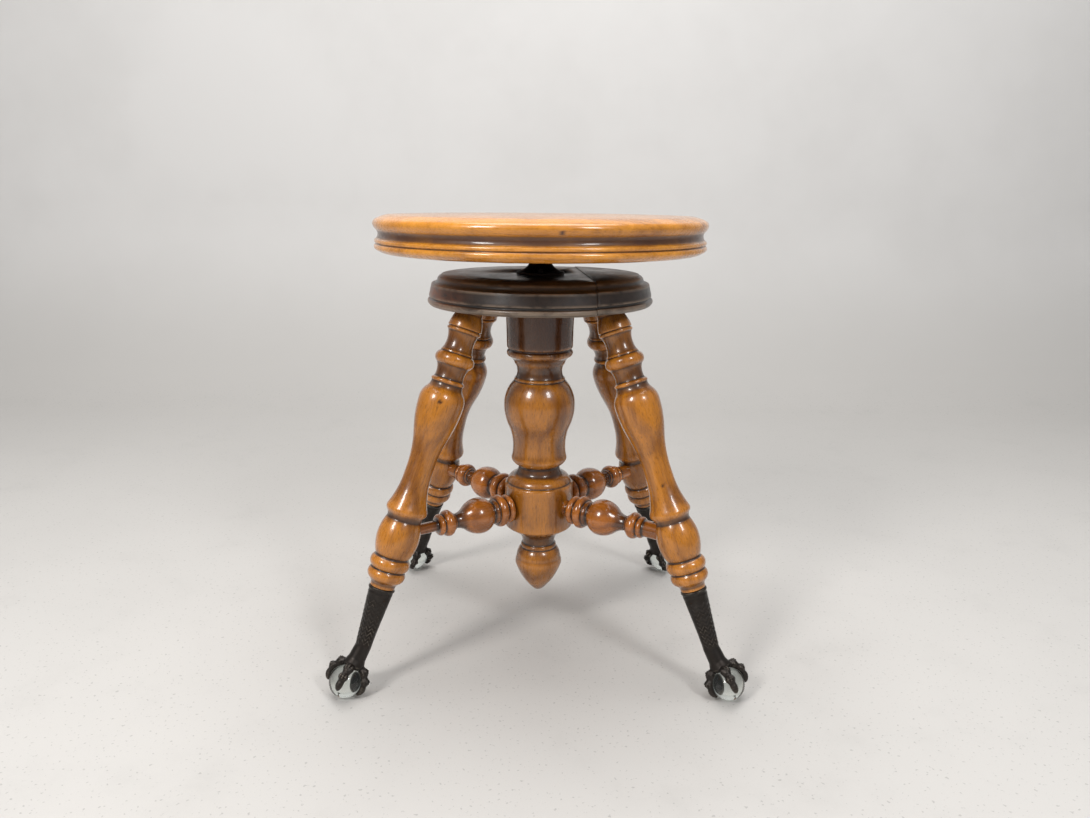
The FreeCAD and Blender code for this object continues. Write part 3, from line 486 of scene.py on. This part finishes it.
def thin(line, slack, longest):
    """Indices of an outline's points that keep its shape within the slack."""
    kept = [0]
    start = 0
    while start < len(line) - 1:
        end = start + 1
        while end + 1 < len(line):
            chord = line[end + 1] - line[start]
            span = np.linalg.norm(chord)
            if span > longest:
                break
            rel = line[start + 1:end + 1] - line[start]
            off = np.abs(rel[:, 0] * chord[1] - rel[:, 1] * chord[0]) / max(span, 1e-9)
            if off.max() > slack:
                break
            end += 1
        kept.append(end)
        start = end
    return kept


def turned_outline(node, start, along, length, angles, pitch, ease, bore_from=None):
    """(station, radius, hollow) rows round a turned piece, bore included."""
    tree = tree_of(node)
    marks = stations(length, pitch)
    outer = [(s, radius_at(tree, start, along, s, angles)) for s in marks]
    line = soften(outer, LINE_PITCH, ease)
    wide = blurred(line, GROOVE_WIDTH)
    slope = np.gradient(line, axis=0)
    normal = np.column_stack([-slope[:, 1], slope[:, 0]])
    normal /= np.maximum(np.linalg.norm(normal, axis=1), 1e-12)[:, None]
    hollow = ((wide - line) * normal).sum(1) / MM
    neck = ((blurred(line, NECK_WIDTH) - line) * normal).sum(1) / MM
    kept = thin(line, THIN_SLACK, LONGEST_RING)
    rows = [(line[k, 0], line[k, 1], hollow[k], neck[k]) for k in kept]
    if bore_from is None:
        return rows
    bore = []
    for s in marks[::-1]:
        inside = radius_at(tree, start, along, s, angles, True)
        outside = radius_at(tree, start, along, s, angles)
        if inside < outside - 0.4 * MM and s > bore_from:
            bore.append((s, inside))
    line = np.array(bore)
    return rows + [(line[k, 0], line[k, 1], 0.0, 0.0) for k in thin(line, 0.03 * MM, 8 * MM)]


def ripple(places, seed, size):
    """Slow random swell, about -1 to 1, over a cloud of places."""
    rng = np.random.default_rng(seed)
    total = np.zeros(len(places))
    for _ in range(9):
        way = rng.normal(size=3)
        way *= rng.uniform(0.6, 1.6) / size / np.linalg.norm(way)
        total += np.sin(places @ way + rng.uniform(0, 6.283))
    return total / 3.0


def mesh_object(name, verts, faces, material):
    mesh = bpy.data.meshes.new(name)
    mesh.from_pydata([tuple(v) for v in verts], [], faces)
    mesh.validate()
    mesh.materials.append(material)
    made = bpy.data.objects.new(name, mesh)
    bpy.context.scene.collection.objects.link(made)
    return made


def tidy_mesh(made):
    """Faces outward and smooth."""
    work = bmesh.new()
    work.from_mesh(made.data)
    bmesh.ops.recalc_face_normals(work, faces=work.faces)
    if work.calc_volume(signed=True) < 0:
        bmesh.ops.reverse_faces(work, faces=work.faces)
    work.to_mesh(made.data)
    work.free()
    made.data.polygons.foreach_set("use_smooth", [True] * len(made.data.polygons))
    made.data.update()


def store(made, name, values, kind="FLOAT"):
    layer = made.data.attributes.new(name, kind, "POINT")
    field = "value" if kind == "FLOAT" else "vector"
    layer.data.foreach_set(field, np.asarray(values, dtype=np.float32).ravel())


def lathe(name, rows, start, along, count, material, closed=False):
    """Turns an outline about its axis and keeps its hollow values."""
    first, second = sides(along)
    turns = np.arange(count) * 2 * math.pi / count
    circle = np.outer(np.cos(turns), first) + np.outer(np.sin(turns), second)
    rows = list(rows)
    if not closed:
        rows = [(rows[0][0], 0.0, 0.0, 0.0)] + rows + [(rows[-1][0], 0.0, 0.0, 0.0)]
    verts, hollow, necks, rings, faces = [], [], [], [], []
    for s, r, deep, slim in rows:
        centre = start + along * s
        begin = len(verts)
        if r < 1e-7:
            verts.append(centre)
            hollow.append(deep)
            necks.append(slim)
            rings.append((begin, 1))
            continue
        verts.extend(centre + circle * r)
        hollow.extend([deep] * count)
        necks.extend([slim] * count)
        rings.append((begin, count))
    pairs = list(zip(rings, rings[1:])) + ([(rings[-1], rings[0])] if closed else [])
    for (a, many_a), (b, many_b) in pairs:
        for k in range(count):
            j = (k + 1) % count
            if many_a == 1 and many_b == 1:
                break
            if many_a == 1:
                faces.append((a, b + k, b + j))
            elif many_b == 1:
                faces.append((a + k, b, a + j))
            else:
                faces.append((a + k, b + k, b + j, a + j))
    made = mesh_object(name, verts, faces, material)
    store(made, "hollow", hollow)
    store(made, "neck", necks)
    return made


def grain_of(made, start, along, shift, turn=0.0):
    """Grain coordinates: two across the wood and the third along it."""
    co = np.zeros(len(made.data.vertices) * 3)
    made.data.vertices.foreach_get("co", co)
    rel = co.reshape(-1, 3) - start
    first, second = sides(along)
    x = rel @ first
    y = rel @ second
    c, s = math.cos(turn), math.sin(turn)
    store(made, "grain", np.column_stack([x * c - y * s, x * s + y * c, rel @ along]) + shift,
          "FLOAT_VECTOR")


def handle(made, seed, depth, chips, box):
    """Handling marks, a slow swell and a few chips, kept inside the piece's box."""
    mesh = made.data
    co = np.zeros(len(mesh.vertices) * 3)
    normal = np.zeros(len(mesh.vertices) * 3)
    mesh.vertices.foreach_get("co", co)
    mesh.vertex_normals.foreach_get("vector", normal)
    co = co.reshape(-1, 3)
    normal = normal.reshape(-1, 3)
    dip = depth * (0.55 + 0.45 * ripple(co, seed, 0.006))
    bare = np.zeros(len(co))
    for place, width, deep in chips:
        far = np.linalg.norm(co - place, axis=1) / width
        mark = np.clip(1.4 - far * far * (1 + 0.3 * ripple(co, seed + 5, 0.0015)), 0, 1)
        dip = dip + mark * deep
        bare = np.maximum(bare, np.clip(mark * 1.6 - 0.3, 0, 1))
    co = co - normal * np.clip(dip, 0, None)[:, None]
    co = np.clip(co, np.array(box[0]), np.array(box[1]))
    mesh.vertices.foreach_set("co", co.ravel())
    store(made, "bare", bare)
    mesh.update()


def body_holding(node):
    for body, members in frame["record"]["behaviour"]["bodies"].items():
        if node in members:
            return body
    raise ValueError("no body holds " + node)


def finished(made, node):
    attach(made, body_holding(node))
    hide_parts(node)


def round_angles(count, start=0.0, end=2 * math.pi):
    return [start + (end - start) * (k + 0.37) / count for k in range(count)]


# -------------------------------------------------------- wooden pieces ----

UPWARD = np.array([0.0, 0.0, 1.0])
ACROSS = np.array([1.0, 0.0, 0.0])


def upright(node):
    low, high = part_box(node)
    return np.array([0.0, 0.0, low.z]), high.z - low.z


def build_seat(settings, paint):
    start, length = upright("seat")
    rows = turned_outline("seat", start, UPWARD, length, round_angles(8), RIM_PITCH,
                          settings.corner * 0.7)
    made = lathe("turned_seat", rows, start, UPWARD, 288, paint["honey"])
    tidy_mesh(made)
    grain_of(made, np.array([0.0, -0.30, 0.47]), ACROSS, np.array([0.0, 0.0, 0.0]))
    low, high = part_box("seat")
    top = high.z
    chips = [(np.array([-0.060, -0.120, top]), 2.2 * MM, 0.25 * MM),
             (np.array([0.118, -0.070, top]), 1.3 * MM, 0.4 * MM),
             (np.array([0.131, -0.030, top]), 1.0 * MM, 0.4 * MM),
             (np.array([0.02, low.y + 2 * MM, top - 12 * MM]), 2.4 * MM, 0.5 * MM)]
    handle(made, 11, settings.dents * 0.6, chips, (low, high))
    finished(made, "seat")


def seam_plane():
    """Point and outward normal of the side board's glued face."""
    mesh = frame["nodes"]["disc_side_board"].data
    area, total = {}, {}
    for face in mesh.polygons:
        if abs(face.normal.z) > 0.02:
            continue
        key = tuple(round(v, 2) for v in face.normal)
        area[key] = area.get(key, 0.0) + face.area
        total[key] = total.get(key, Vector()) + face.center * face.area
    best = max(area, key=area.get)
    return total[best] / area[best], Vector(best).normalized()


def half_disc(made, point, normal):
    work = bmesh.new()
    work.from_mesh(made.data)
    parts = list(work.verts) + list(work.edges) + list(work.faces)
    cut = bmesh.ops.bisect_plane(work, geom=parts, plane_co=point, plane_no=normal,
                                 clear_outer=True, dist=1e-7)
    edges = [e for e in cut["geom_cut"] if isinstance(e, bmesh.types.BMEdge)]
    filled = bmesh.ops.edgenet_fill(work, edges=edges)["faces"]
    for face in filled:
        face.smooth = False
    bmesh.ops.triangulate(work, faces=filled)
    work.to_mesh(made.data)
    work.free()


def build_disc(settings, paint):
    start, length = upright("disc_main_board")
    first, second = sides(UPWARD)
    away = math.atan2(-second[0], -first[0])
    angles = [away + v for v in np.linspace(-0.9, 0.9, 7)]
    rows = turned_outline("disc_main_board", start, UPWARD, length, angles, RIM_PITCH,
                          settings.corner * 0.8, bore_from=0.0)
    point, normal = seam_plane()
    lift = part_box("disc_side_board")[0].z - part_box("disc_main_board")[0].z
    for node, way, rise, turn in (("disc_main_board", -normal, 0.0, 0.0),
                                  ("disc_side_board", normal, lift, 0.4)):
        made = lathe(node.replace("disc", "dark"), rows, start + UPWARD * rise, UPWARD, 224,
                     paint["umber"], closed=True)
        tidy_mesh(made)
        half_disc(made, point, way)
        flat = [abs(f.normal @ normal) > 0.999 and not f.use_smooth
                for f in made.data.polygons]
        tidy_mesh(made)
        made.data.polygons.foreach_set("use_smooth", [not f for f in flat])
        grain_of(made, np.array([0.0, -0.2, 0.40]), np.array([0.07, 0.997, 0.0]),
                 np.array([turn, turn, turn]), turn)
        low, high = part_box(node)
        handle(made, 21, settings.dents * 0.5, [], (low, high))
        finished(made, node)


def build_post(settings, paint):
    start, length = upright("post")
    rows = turned_outline("post", start, UPWARD, length, round_angles(9), LINE_PITCH,
                          settings.corner, bore_from=0.14)
    made = lathe("turned_post", rows, start, UPWARD, 144, paint["post"])
    tidy_mesh(made)
    grain_of(made, start, UPWARD, np.array([0.031, 0.012, 0.0]), 0.6)
    handle(made, 31, settings.dents, [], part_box("post"))
    finished(made, "post")


def build_legs(settings, paint):
    for index, corner in enumerate(CORNERS):
        node = "leg_" + corner
        start, along, length = axis_of(node, np.array([0.0, 0.0, -1.0]))
        rows = turned_outline(node, start, along, length, round_angles(8), LINE_PITCH,
                              settings.corner)
        made = lathe("turned_" + node, rows, start, along, 96, paint["amber"])
        tidy_mesh(made)
        grain_of(made, start, along, np.array([0.017 + 0.11 * index, 0.02, 0.3 * index]),
                 1.3 * index)
        chips = []
        front = np.array([0.0, -1.0, 0.0]) - along * -along[1]
        front /= np.linalg.norm(front)
        if corner == "front_left":
            where = start + along * length * 0.34 + front * radius_near(rows, length * 0.34)
            chips.append((where, 2.6 * MM, 0.7 * MM))
        if corner == "front_right":
            where = start + along * length * 0.585 + front * radius_near(rows, length * 0.585)
            chips.append((where, 1.4 * MM, 0.15 * MM))
        handle(made, 41 + index, settings.dents, chips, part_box(node))
        finished(made, node)


def radius_near(rows, station):
    return min(rows, key=lambda row: abs(row[0] - station))[1]


def build_stretchers(settings, paint):
    for index, corner in enumerate(CORNERS):
        node = "stretcher_" + corner
        low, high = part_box(node)
        middle = (low + high) / 2
        out = np.array([middle.x, middle.y, 0.0])
        start, along, length = axis_of(node, out / np.linalg.norm(out))
        rows = turned_outline(node, start, along, length, round_angles(8), LINE_PITCH,
                              settings.corner * 0.8)
        made = lathe("turned_" + node, rows, start, along, 72, paint["russet"])
        tidy_mesh(made)
        grain_of(made, start, along, np.array([0.4 + 0.13 * index, 0.02, 0.5 * index]), index)
        handle(made, 61 + index, settings.dents * 0.8, [], (low, high))
        finished(made, node)


# ------------------------------------------------------ claws and balls ----

class Foot:
    """Where one claw, its ball and its leg meet."""

    def __init__(self, corner):
        low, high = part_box("glass_ball_" + corner)
        self.ball = np.array((low + high) / 2)
        self.radius = (high.z - low.z) / 2
        start, along, length = axis_of("leg_" + corner, np.array([0.0, 0.0, -1.0]))
        self.along = along
        self.start = start
        self.length = length
        self.mouth = self.find_mouth("leg_" + corner)
        flat = np.array([along[0], along[1], 0.0])
        self.out = flat / np.linalg.norm(flat)
        tilt = math.radians(CLAW_TILT)
        self.axis = UPWARD * math.cos(tilt) - self.out * math.sin(tilt)
        self.front = self.out * math.cos(tilt) + UPWARD * math.sin(tilt)
        self.across = np.cross(UPWARD, self.out)

    def find_mouth(self, node):
        """Station where the bare wood ends and the hidden tenon begins."""
        tree = tree_of(node)
        station = self.length - 2 * MM
        while radius_at(tree, self.start, self.along, station, (0.3, 2.3, 4.3)) < 11 * MM:
            station -= 0.25 * MM
        return station

    def on_leg(self, distance):
        return self.start + self.along * (self.mouth + distance)

    def toe_ways(self, number):
        """Outward and sideways directions of one toe."""
        turn = math.radians(45 + 90 * number)
        out = self.front * math.cos(turn) + self.across * math.sin(turn)
        return out, self.across * math.cos(turn) - self.front * math.sin(turn)


def tube(centres, radii, count, flat=1.0, side=None):
    """Round skin along a run of centres, closed at both ends."""
    centres = np.array(centres)
    ways = np.gradient(centres, axis=0)
    ways /= np.linalg.norm(ways, axis=1)[:, None]
    verts, faces = [], []
    first = side if side is not None else sides(ways[0])[0]
    for centre, way, radius in zip(centres, ways, radii):
        first = first - way * (first @ way)
        first = first / np.linalg.norm(first)
        second = np.cross(way, first)
        for k in range(count):
            turn = 2 * math.pi * k / count
            verts.append(centre + first * math.cos(turn) * radius
                         + second * math.sin(turn) * radius * flat)
    rings = len(centres)
    for ring in range(rings - 1):
        for k in range(count):
            j = (k + 1) % count
            a, b = ring * count, (ring + 1) * count
            faces.append((a + k, a + j, b + j, b + k))
    faces.append(tuple(range(count))[::-1])
    faces.append(tuple(range((rings - 1) * count, rings * count)))
    return verts, faces


TOE_TURNS = [6, 12, 19, 26, 33, 40, 47, 54, 60, 66, 72, 78, 84, 90, 96, 102, 108, 112]
TOE_RADII = [5.6, 6.0, 5.3, 4.4, 4.9, 5.4, 4.9, 4.0, 4.5, 5.0, 4.5, 3.6, 3.8, 3.9, 3.6, 3.0,
             2.1, 1.2]
KNUCKLES = [12, 40, 66]


def toe_centre(foot, out, turn, radius):
    angle = math.radians(turn)
    way = foot.axis * math.cos(angle) + out * math.sin(angle)
    return foot.ball + way * (foot.radius + radius * TOE_SEAT)


def claw_skin(foot):
    """Socket, shank, wrist and four toes, as overlapping closed skins."""
    stops = [(0.3, 13.2), (0.9, 13.9), (2.6, 14.0), (3.6, 13.3), (5.0, 12.9), (7.0, 13.1),
             (8.5, 12.8), (20.0, 11.8), (34.0, 10.6), (48.0, 9.4), (60.0, 8.7), (66.0, 8.6)]
    centres = [foot.on_leg(distance * MM) for distance, radius in stops]
    radii = [radius * MM for distance, radius in stops]
    for gap, radius in ((9.5, 9.2), (6.0, 10.4), (2.5, 11.4), (-1.0, 9.5)):
        centres.append(foot.ball + foot.axis * (foot.radius + gap * MM))
        radii.append(radius * MM)
    skins = [tube(centres, radii, 40)]
    for number in range(TOE_COUNT):
        out, side = foot.toe_ways(number)
        line = [toe_centre(foot, out, angle, radius * MM)
                for angle, radius in zip(TOE_TURNS, TOE_RADII)]
        skins.append(tube(line, [radius * MM for radius in TOE_RADII], 20, 0.92, side))
    return skins


def bead_seats(foot, count):
    """Places and sizes of the knuckle beads and of the scales up the shank."""
    places, sizes = [], []
    for number in range(TOE_COUNT):
        out, side = foot.toe_ways(number)
        for knuckle in KNUCKLES:
            for row, scale in ((-4.5, 0.8), (0.0, 1.0), (4.5, 0.8)):
                angle = knuckle + row
                radius = float(np.interp(angle, TOE_TURNS, TOE_RADII)) * MM
                centre = toe_centre(foot, out, angle, radius)
                lean = math.radians(angle)
                way = foot.axis * math.cos(lean) + out * math.sin(lean)
                for k in range(count):
                    round_ = math.radians(-78 + 156 * k / (count - 1))
                    spot = way * math.cos(round_) + side * math.sin(round_)
                    places.append(centre + spot * radius * 0.97)
                    sizes.append(scale)
    first, second = sides(foot.along)
    for ring in range(ZIGZAG_ROWS):
        for k in range(ZIGZAG_BEADS):
            distance = 13.0 + ring * 5.0 + 2.0 * abs(k % 8 - 4) / 2
            radius = float(np.interp(distance, [8.5, 34, 60, 66], [12.8, 10.6, 8.7, 8.6])) * MM
            turn = math.atan2(foot.out @ second, foot.out @ first)
            turn += math.radians(-96 + 4.4 * k)
            spot = first * math.cos(turn) + second * math.sin(turn)
            places.append(foot.on_leg(distance * MM) + spot * radius * 0.965)
            sizes.append(0.85)
    return places, sizes


def bead_tree(material):
    """Puts a small round bead on every point of a mesh."""
    tree = bpy.data.node_groups.new("knuckle_beads", "GeometryNodeTree")
    face = tree.interface
    face.new_socket("Geometry", in_out="INPUT", socket_type="NodeSocketGeometry")
    face.new_socket("Radius", in_out="INPUT", socket_type="NodeSocketFloat")
    face.new_socket("Unevenness", in_out="INPUT", socket_type="NodeSocketFloat")
    face.new_socket("Geometry", in_out="OUTPUT", socket_type="NodeSocketGeometry")
    make = tree.nodes.new
    join = tree.links.new
    entry = make("NodeGroupInput")
    leave = make("NodeGroupOutput")
    points = make("GeometryNodeMeshToPoints")
    ball = make("GeometryNodeMeshIcoSphere")
    ball.inputs["Subdivisions"].default_value = 2
    join(entry.outputs["Radius"], ball.inputs["Radius"])
    size = make("GeometryNodeInputNamedAttribute")
    size.data_type = "FLOAT"
    size.inputs["Name"].default_value = "size"
    chance = make("FunctionNodeRandomValue")
    chance.data_type = "FLOAT"
    chance.inputs["Seed"].default_value = 7
    low = make("ShaderNodeMath")
    low.operation = "SUBTRACT"
    low.inputs[0].default_value = 1.0
    join(entry.outputs["Unevenness"], low.inputs[1])
    join(low.outputs[0], chance.inputs[2])
    chance.inputs[3].default_value = 1.0
    both = make("ShaderNodeMath")
    both.operation = "MULTIPLY"
    join(size.outputs["Attribute"], both.inputs[0])
    join(chance.outputs[1], both.inputs[1])
    place = make("GeometryNodeInstanceOnPoints")
    real = make("GeometryNodeRealizeInstances")
    paint = make("GeometryNodeSetMaterial")
    paint.inputs["Material"].default_value = material
    join(entry.outputs["Geometry"], points.inputs["Mesh"])
    join(points.outputs["Points"], place.inputs["Points"])
    join(ball.outputs["Mesh"], place.inputs["Instance"])
    join(both.outputs[0], place.inputs["Scale"])
    join(place.outputs["Instances"], real.inputs["Geometry"])
    join(real.outputs["Geometry"], paint.inputs["Geometry"])
    join(paint.outputs["Geometry"], leave.inputs["Geometry"])
    return tree


def beads_mesh(foot, settings, tree):
    places, sizes = bead_seats(foot, settings.toe_beads)
    seed = bpy.data.meshes.new("bead_places")
    seed.from_pydata([tuple(p) for p in places], [], [])
    layer = seed.attributes.new("size", "FLOAT", "POINT")
    layer.data.foreach_set("value", sizes)
    holder = bpy.data.objects.new("bead_places", seed)
    bpy.context.scene.collection.objects.link(holder)
    live = holder.modifiers.new("beads", "NODES")
    live.node_group = tree
    wanted = {"Radius": settings.bead, "Unevenness": 0.25}
    for item in tree.interface.items_tree:
        if item.in_out == "INPUT" and item.name in wanted:
            live[item.identifier] = wanted[item.name]
    bpy.context.view_layer.update()
    depsgraph = bpy.context.evaluated_depsgraph_get()
    made = bpy.data.meshes.new_from_object(holder.evaluated_get(depsgraph))
    holder.modifiers.remove(live)
    bpy.data.objects.remove(holder)
    return made


def remeshed(made, size):
    live = made.modifiers.new("skin", "REMESH")
    live.mode = "VOXEL"
    live.voxel_size = size
    live.use_smooth_shade = True
    bpy.context.view_layer.update()
    depsgraph = bpy.context.evaluated_depsgraph_get()
    whole = bpy.data.meshes.new_from_object(made.evaluated_get(depsgraph))
    made.modifiers.remove(live)
    return whole


def neighbour_mean(mesh, co, rounds):
    """Each vertex's place averaged with its neighbours', a number of times."""
    pairs = np.zeros(len(mesh.edges) * 2, dtype=np.int64)
    mesh.edges.foreach_get("vertices", pairs)
    a, b = pairs.reshape(-1, 2).T
    many = np.bincount(np.concatenate([a, b]), minlength=len(co))[:, None]
    many = np.maximum(many, 1)
    for _ in range(rounds):
        total = np.zeros_like(co)
        for k in range(3):
            total[:, k] = np.bincount(a, co[b, k], len(co)) + np.bincount(b, co[a, k], len(co))
        co = co * 0.4 + 0.6 * total / many
    return co


def build_claws(settings, paint):
    tree = bead_tree(paint["iron"])
    for index, corner in enumerate(CORNERS):
        foot = Foot(corner)
        beads = beads_mesh(foot, settings, tree)
        verts = [tuple(v.co) for v in beads.vertices]
        faces = [tuple(f.vertices) for f in beads.polygons]
        for skin, skin_faces in claw_skin(foot):
            shift = len(verts)
            verts.extend(tuple(v) for v in skin)
            faces.extend(tuple(k + shift for k in face) for face in skin_faces)
        rough = mesh_object("iron_claw_" + corner, verts, faces, paint["iron"])
        mesh = remeshed(rough, CLAW_SKIN)
        bpy.data.objects.remove(rough)
        made = bpy.data.objects.new("iron_claw_" + corner, mesh)
        bpy.context.scene.collection.objects.link(made)
        mesh.materials.clear()
        mesh.materials.append(paint["iron"])
        co = np.zeros(len(mesh.vertices) * 3)
        mesh.vertices.foreach_get("co", co)
        co = neighbour_mean(mesh, co.reshape(-1, 3), 1)
        rel = co - foot.ball
        far = np.linalg.norm(rel, axis=1)
        least = foot.radius + BALL_GAP
        near = far < least
        rel[near] *= (least / np.maximum(far[near], 1e-6))[:, None]
        co = foot.ball + rel
        low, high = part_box("claw_" + corner)
        co = np.clip(co, np.array(low), np.array(high))
        mesh.vertices.foreach_set("co", co.ravel())
        tidy_mesh(made)
        normal = np.zeros(len(mesh.vertices) * 3)
        mesh.vertex_normals.foreach_get("vector", normal)
        wide = neighbour_mean(mesh, co, 10)
        hollow = ((wide - co) * normal.reshape(-1, 3)).sum(1) / MM
        store(made, "hollow", hollow * 1.6)
        finished(made, "claw_" + corner)


def build_balls(settings, paint):
    for corner in CORNERS:
        low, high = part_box("glass_ball_" + corner)
        centre = (low + high) / 2
        work = bmesh.new()
        place = Matrix.Translation(centre) @ Matrix.Rotation(0.9, 4, "X")
        bmesh.ops.create_uvsphere(work, u_segments=96, v_segments=64,
                                  radius=(high.z - low.z) / 2 * 0.9996, matrix=place)
        mesh = bpy.data.meshes.new("ball_" + corner)
        work.to_mesh(mesh)
        work.free()
        mesh.materials.append(paint["glass"])
        made = bpy.data.objects.new("ball_" + corner, mesh)
        bpy.context.scene.collection.objects.link(made)
        tidy_mesh(made)
        finished(made, "glass_ball_" + corner)


# ---------------------------------------------------- metal and fittings ----

FITTINGS = {
    "screw_rod": ("steel", "worn_steel"),
    "screw_pin": ("steel", "worn_steel"),
    "seat_screws": ("steel", "worn_steel"),
    "nut_screws": ("steel", "worn_steel"),
    "stretcher_nails": ("steel", "worn_steel"),
    "claw_pins": ("dark_iron", "dark_iron"),
    "screw_nut": ("dark_iron", "dark_iron"),
    "seat_plate": ("dark_iron", "dark_iron"),
    "thrust_washer": ("leather", "leather"),
    "disc_dowels": ("pale", "pale_wood"),
}


def finish_fittings(paint):
    for node, (finish, slot) in FITTINGS.items():
        made = frame["nodes"][node]
        made.data.materials.clear()
        made.data.materials.append(paint[finish])


# ---------------------------------------------------------------- stage ----

def soft_light(name, place, target, width, height, power, tint=(1.0, 1.0, 1.0)):
    lamp = bpy.data.lights.new(name, "AREA")
    lamp.shape = "RECTANGLE"
    lamp.size = width
    lamp.size_y = height
    lamp.energy = power
    lamp.color = tint
    made = bpy.data.objects.new(name, lamp)
    made.location = place
    aim = Vector(target) - Vector(place)
    made.rotation_euler = aim.to_track_quat("-Z", "Y").to_euler()
    bpy.context.scene.collection.objects.link(made)


def backdrop(paint):
    """Floor that curves up into a wall behind the stool."""
    line = [(-3.0, 0.0), (1.05, 0.0)]
    for step in range(1, 13):
        turn = math.pi / 2 * step / 12
        line.append((1.05 + 0.5 * math.sin(turn), 0.5 - 0.5 * math.cos(turn)))
    line.append((1.55, 3.2))
    verts, faces = [], []
    for y, z in line:
        verts.extend([(-4.0, y, z), (4.0, y, z)])
    for k in range(len(line) - 1):
        faces.append((2 * k, 2 * k + 1, 2 * k + 3, 2 * k + 2))
    made = mesh_object("studio_floor", verts, faces, paint["floor"])
    made.data.polygons.foreach_set("use_smooth", [True] * len(faces))


def camera():
    lens = bpy.data.cameras.new("camera")
    lens.lens = 27.08
    lens.sensor_width = 36.0
    made = bpy.data.objects.new("camera", lens)
    turn = Matrix.Rotation(math.radians(-0.27), 4, "Z")
    tip = Matrix.Rotation(math.radians(90.0 - 14.33), 4, "X")
    roll = Matrix.Rotation(math.radians(0.53), 4, "Z")
    made.matrix_world = Matrix.Translation((0.00206, -0.90446, 0.50843)) @ turn @ tip @ roll
    bpy.context.scene.collection.objects.link(made)
    bpy.context.scene.camera = made


def light_stage():
    soft_light("left_window", (-1.5, -1.7, 1.9), (0, 0, 0.3), 0.55, 0.9, 40, (1.0, 0.98, 0.96))
    soft_light("right_window", (1.3, -1.8, 2.0), (0, 0, 0.3), 0.45, 0.8, 24, (0.98, 0.99, 1.0))
    soft_light("ceiling", (0.0, 0.1, 2.9), (0, 0.1, 0), 2.2, 2.2, 58)
    soft_light("wall_wash", (0.0, 0.2, 2.6), (0, 1.5, 0.9), 2.6, 0.6, 12)
    world = bpy.data.worlds.new("studio")
    world.use_nodes = True
    world.node_tree.nodes["Background"].inputs["Color"].default_value = (0.94, 0.97, 1.0, 1.0)
    world.node_tree.nodes["Background"].inputs["Strength"].default_value = 0.24
    bpy.context.scene.world = world


# ------------------------------------------------------------ operators ----

PAINT = {}


def paints(settings):
    if not PAINT:
        PAINT.update(make_materials(settings))
    return PAINT


class StoolOperator:
    bl_options = {"REGISTER"}

    def execute(self, context):
        settings = context.scene.stool
        self.build(settings, paints(settings))
        return {"FINISHED"}


class STOOL_OT_seat(StoolOperator, bpy.types.Operator):
    """Turns the seat"""
    bl_idname = "stool.seat"
    bl_label = "Seat"

    def build(self, settings, paint):
        build_seat(settings, paint)


class STOOL_OT_disc(StoolOperator, bpy.types.Operator):
    """Turns the two boards of the dark disc"""
    bl_idname = "stool.disc"
    bl_label = "Disc boards"

    def build(self, settings, paint):
        build_disc(settings, paint)


class STOOL_OT_post(StoolOperator, bpy.types.Operator):
    """Turns the post"""
    bl_idname = "stool.post"
    bl_label = "Post"

    def build(self, settings, paint):
        build_post(settings, paint)


class STOOL_OT_legs(StoolOperator, bpy.types.Operator):
    """Turns the four legs"""
    bl_idname = "stool.legs"
    bl_label = "Legs"

    def build(self, settings, paint):
        build_legs(settings, paint)


class STOOL_OT_stretchers(StoolOperator, bpy.types.Operator):
    """Turns the four stretchers"""
    bl_idname = "stool.stretchers"
    bl_label = "Stretchers"

    def build(self, settings, paint):
        build_stretchers(settings, paint)


class STOOL_OT_claws(StoolOperator, bpy.types.Operator):
    """Casts the four iron claws"""
    bl_idname = "stool.claws"
    bl_label = "Claws"

    def build(self, settings, paint):
        build_claws(settings, paint)


class STOOL_OT_balls(StoolOperator, bpy.types.Operator):
    """Makes the four glass balls"""
    bl_idname = "stool.balls"
    bl_label = "Glass balls"

    def build(self, settings, paint):
        build_balls(settings, paint)


class STOOL_OT_fittings(StoolOperator, bpy.types.Operator):
    """Finishes the screw, the nut, the plate and the small fixings"""
    bl_idname = "stool.fittings"
    bl_label = "Metal fittings"

    def build(self, settings, paint):
        finish_fittings(paint)


class STOOL_OT_stage(StoolOperator, bpy.types.Operator):
    """Sets up the floor, the lights and the camera"""
    bl_idname = "stool.stage"
    bl_label = "Stage"

    def build(self, settings, paint):
        backdrop(paint)
        light_stage()
        camera()


OPERATORS = [STOOL_OT_seat, STOOL_OT_disc, STOOL_OT_post, STOOL_OT_legs, STOOL_OT_stretchers,
             STOOL_OT_claws, STOOL_OT_balls, STOOL_OT_fittings, STOOL_OT_stage]


class STOOL_PT_panel(bpy.types.Panel):
    bl_label = "Piano stool"
    bl_idname = "STOOL_PT_panel"
    bl_space_type = "VIEW_3D"
    bl_region_type = "UI"
    bl_category = "Stool"

    def draw(self, context):
        for name in StoolSettings.__annotations__:
            self.layout.prop(context.scene.stool, name)
        for operator in OPERATORS:
            self.layout.operator(operator.bl_idname)


CLASSES = [StoolSettings] + OPERATORS + [STOOL_PT_panel]


def register():
    for item in CLASSES:
        bpy.utils.register_class(item)
    bpy.types.Scene.stool = PointerProperty(type=StoolSettings)


def unregister():
    del bpy.types.Scene.stool
    for item in reversed(CLASSES):
        bpy.utils.unregister_class(item)


def main():
    register()
    bpy.context.scene.view_settings.view_transform = "Standard"
    bpy.ops.stool.seat()
    bpy.ops.stool.disc()
    bpy.ops.stool.post()
    bpy.ops.stool.legs()
    bpy.ops.stool.stretchers()
    bpy.ops.stool.claws()
    bpy.ops.stool.balls()
    bpy.ops.stool.fittings()
    bpy.ops.stool.stage()


if __name__ == "__main__":
    main()
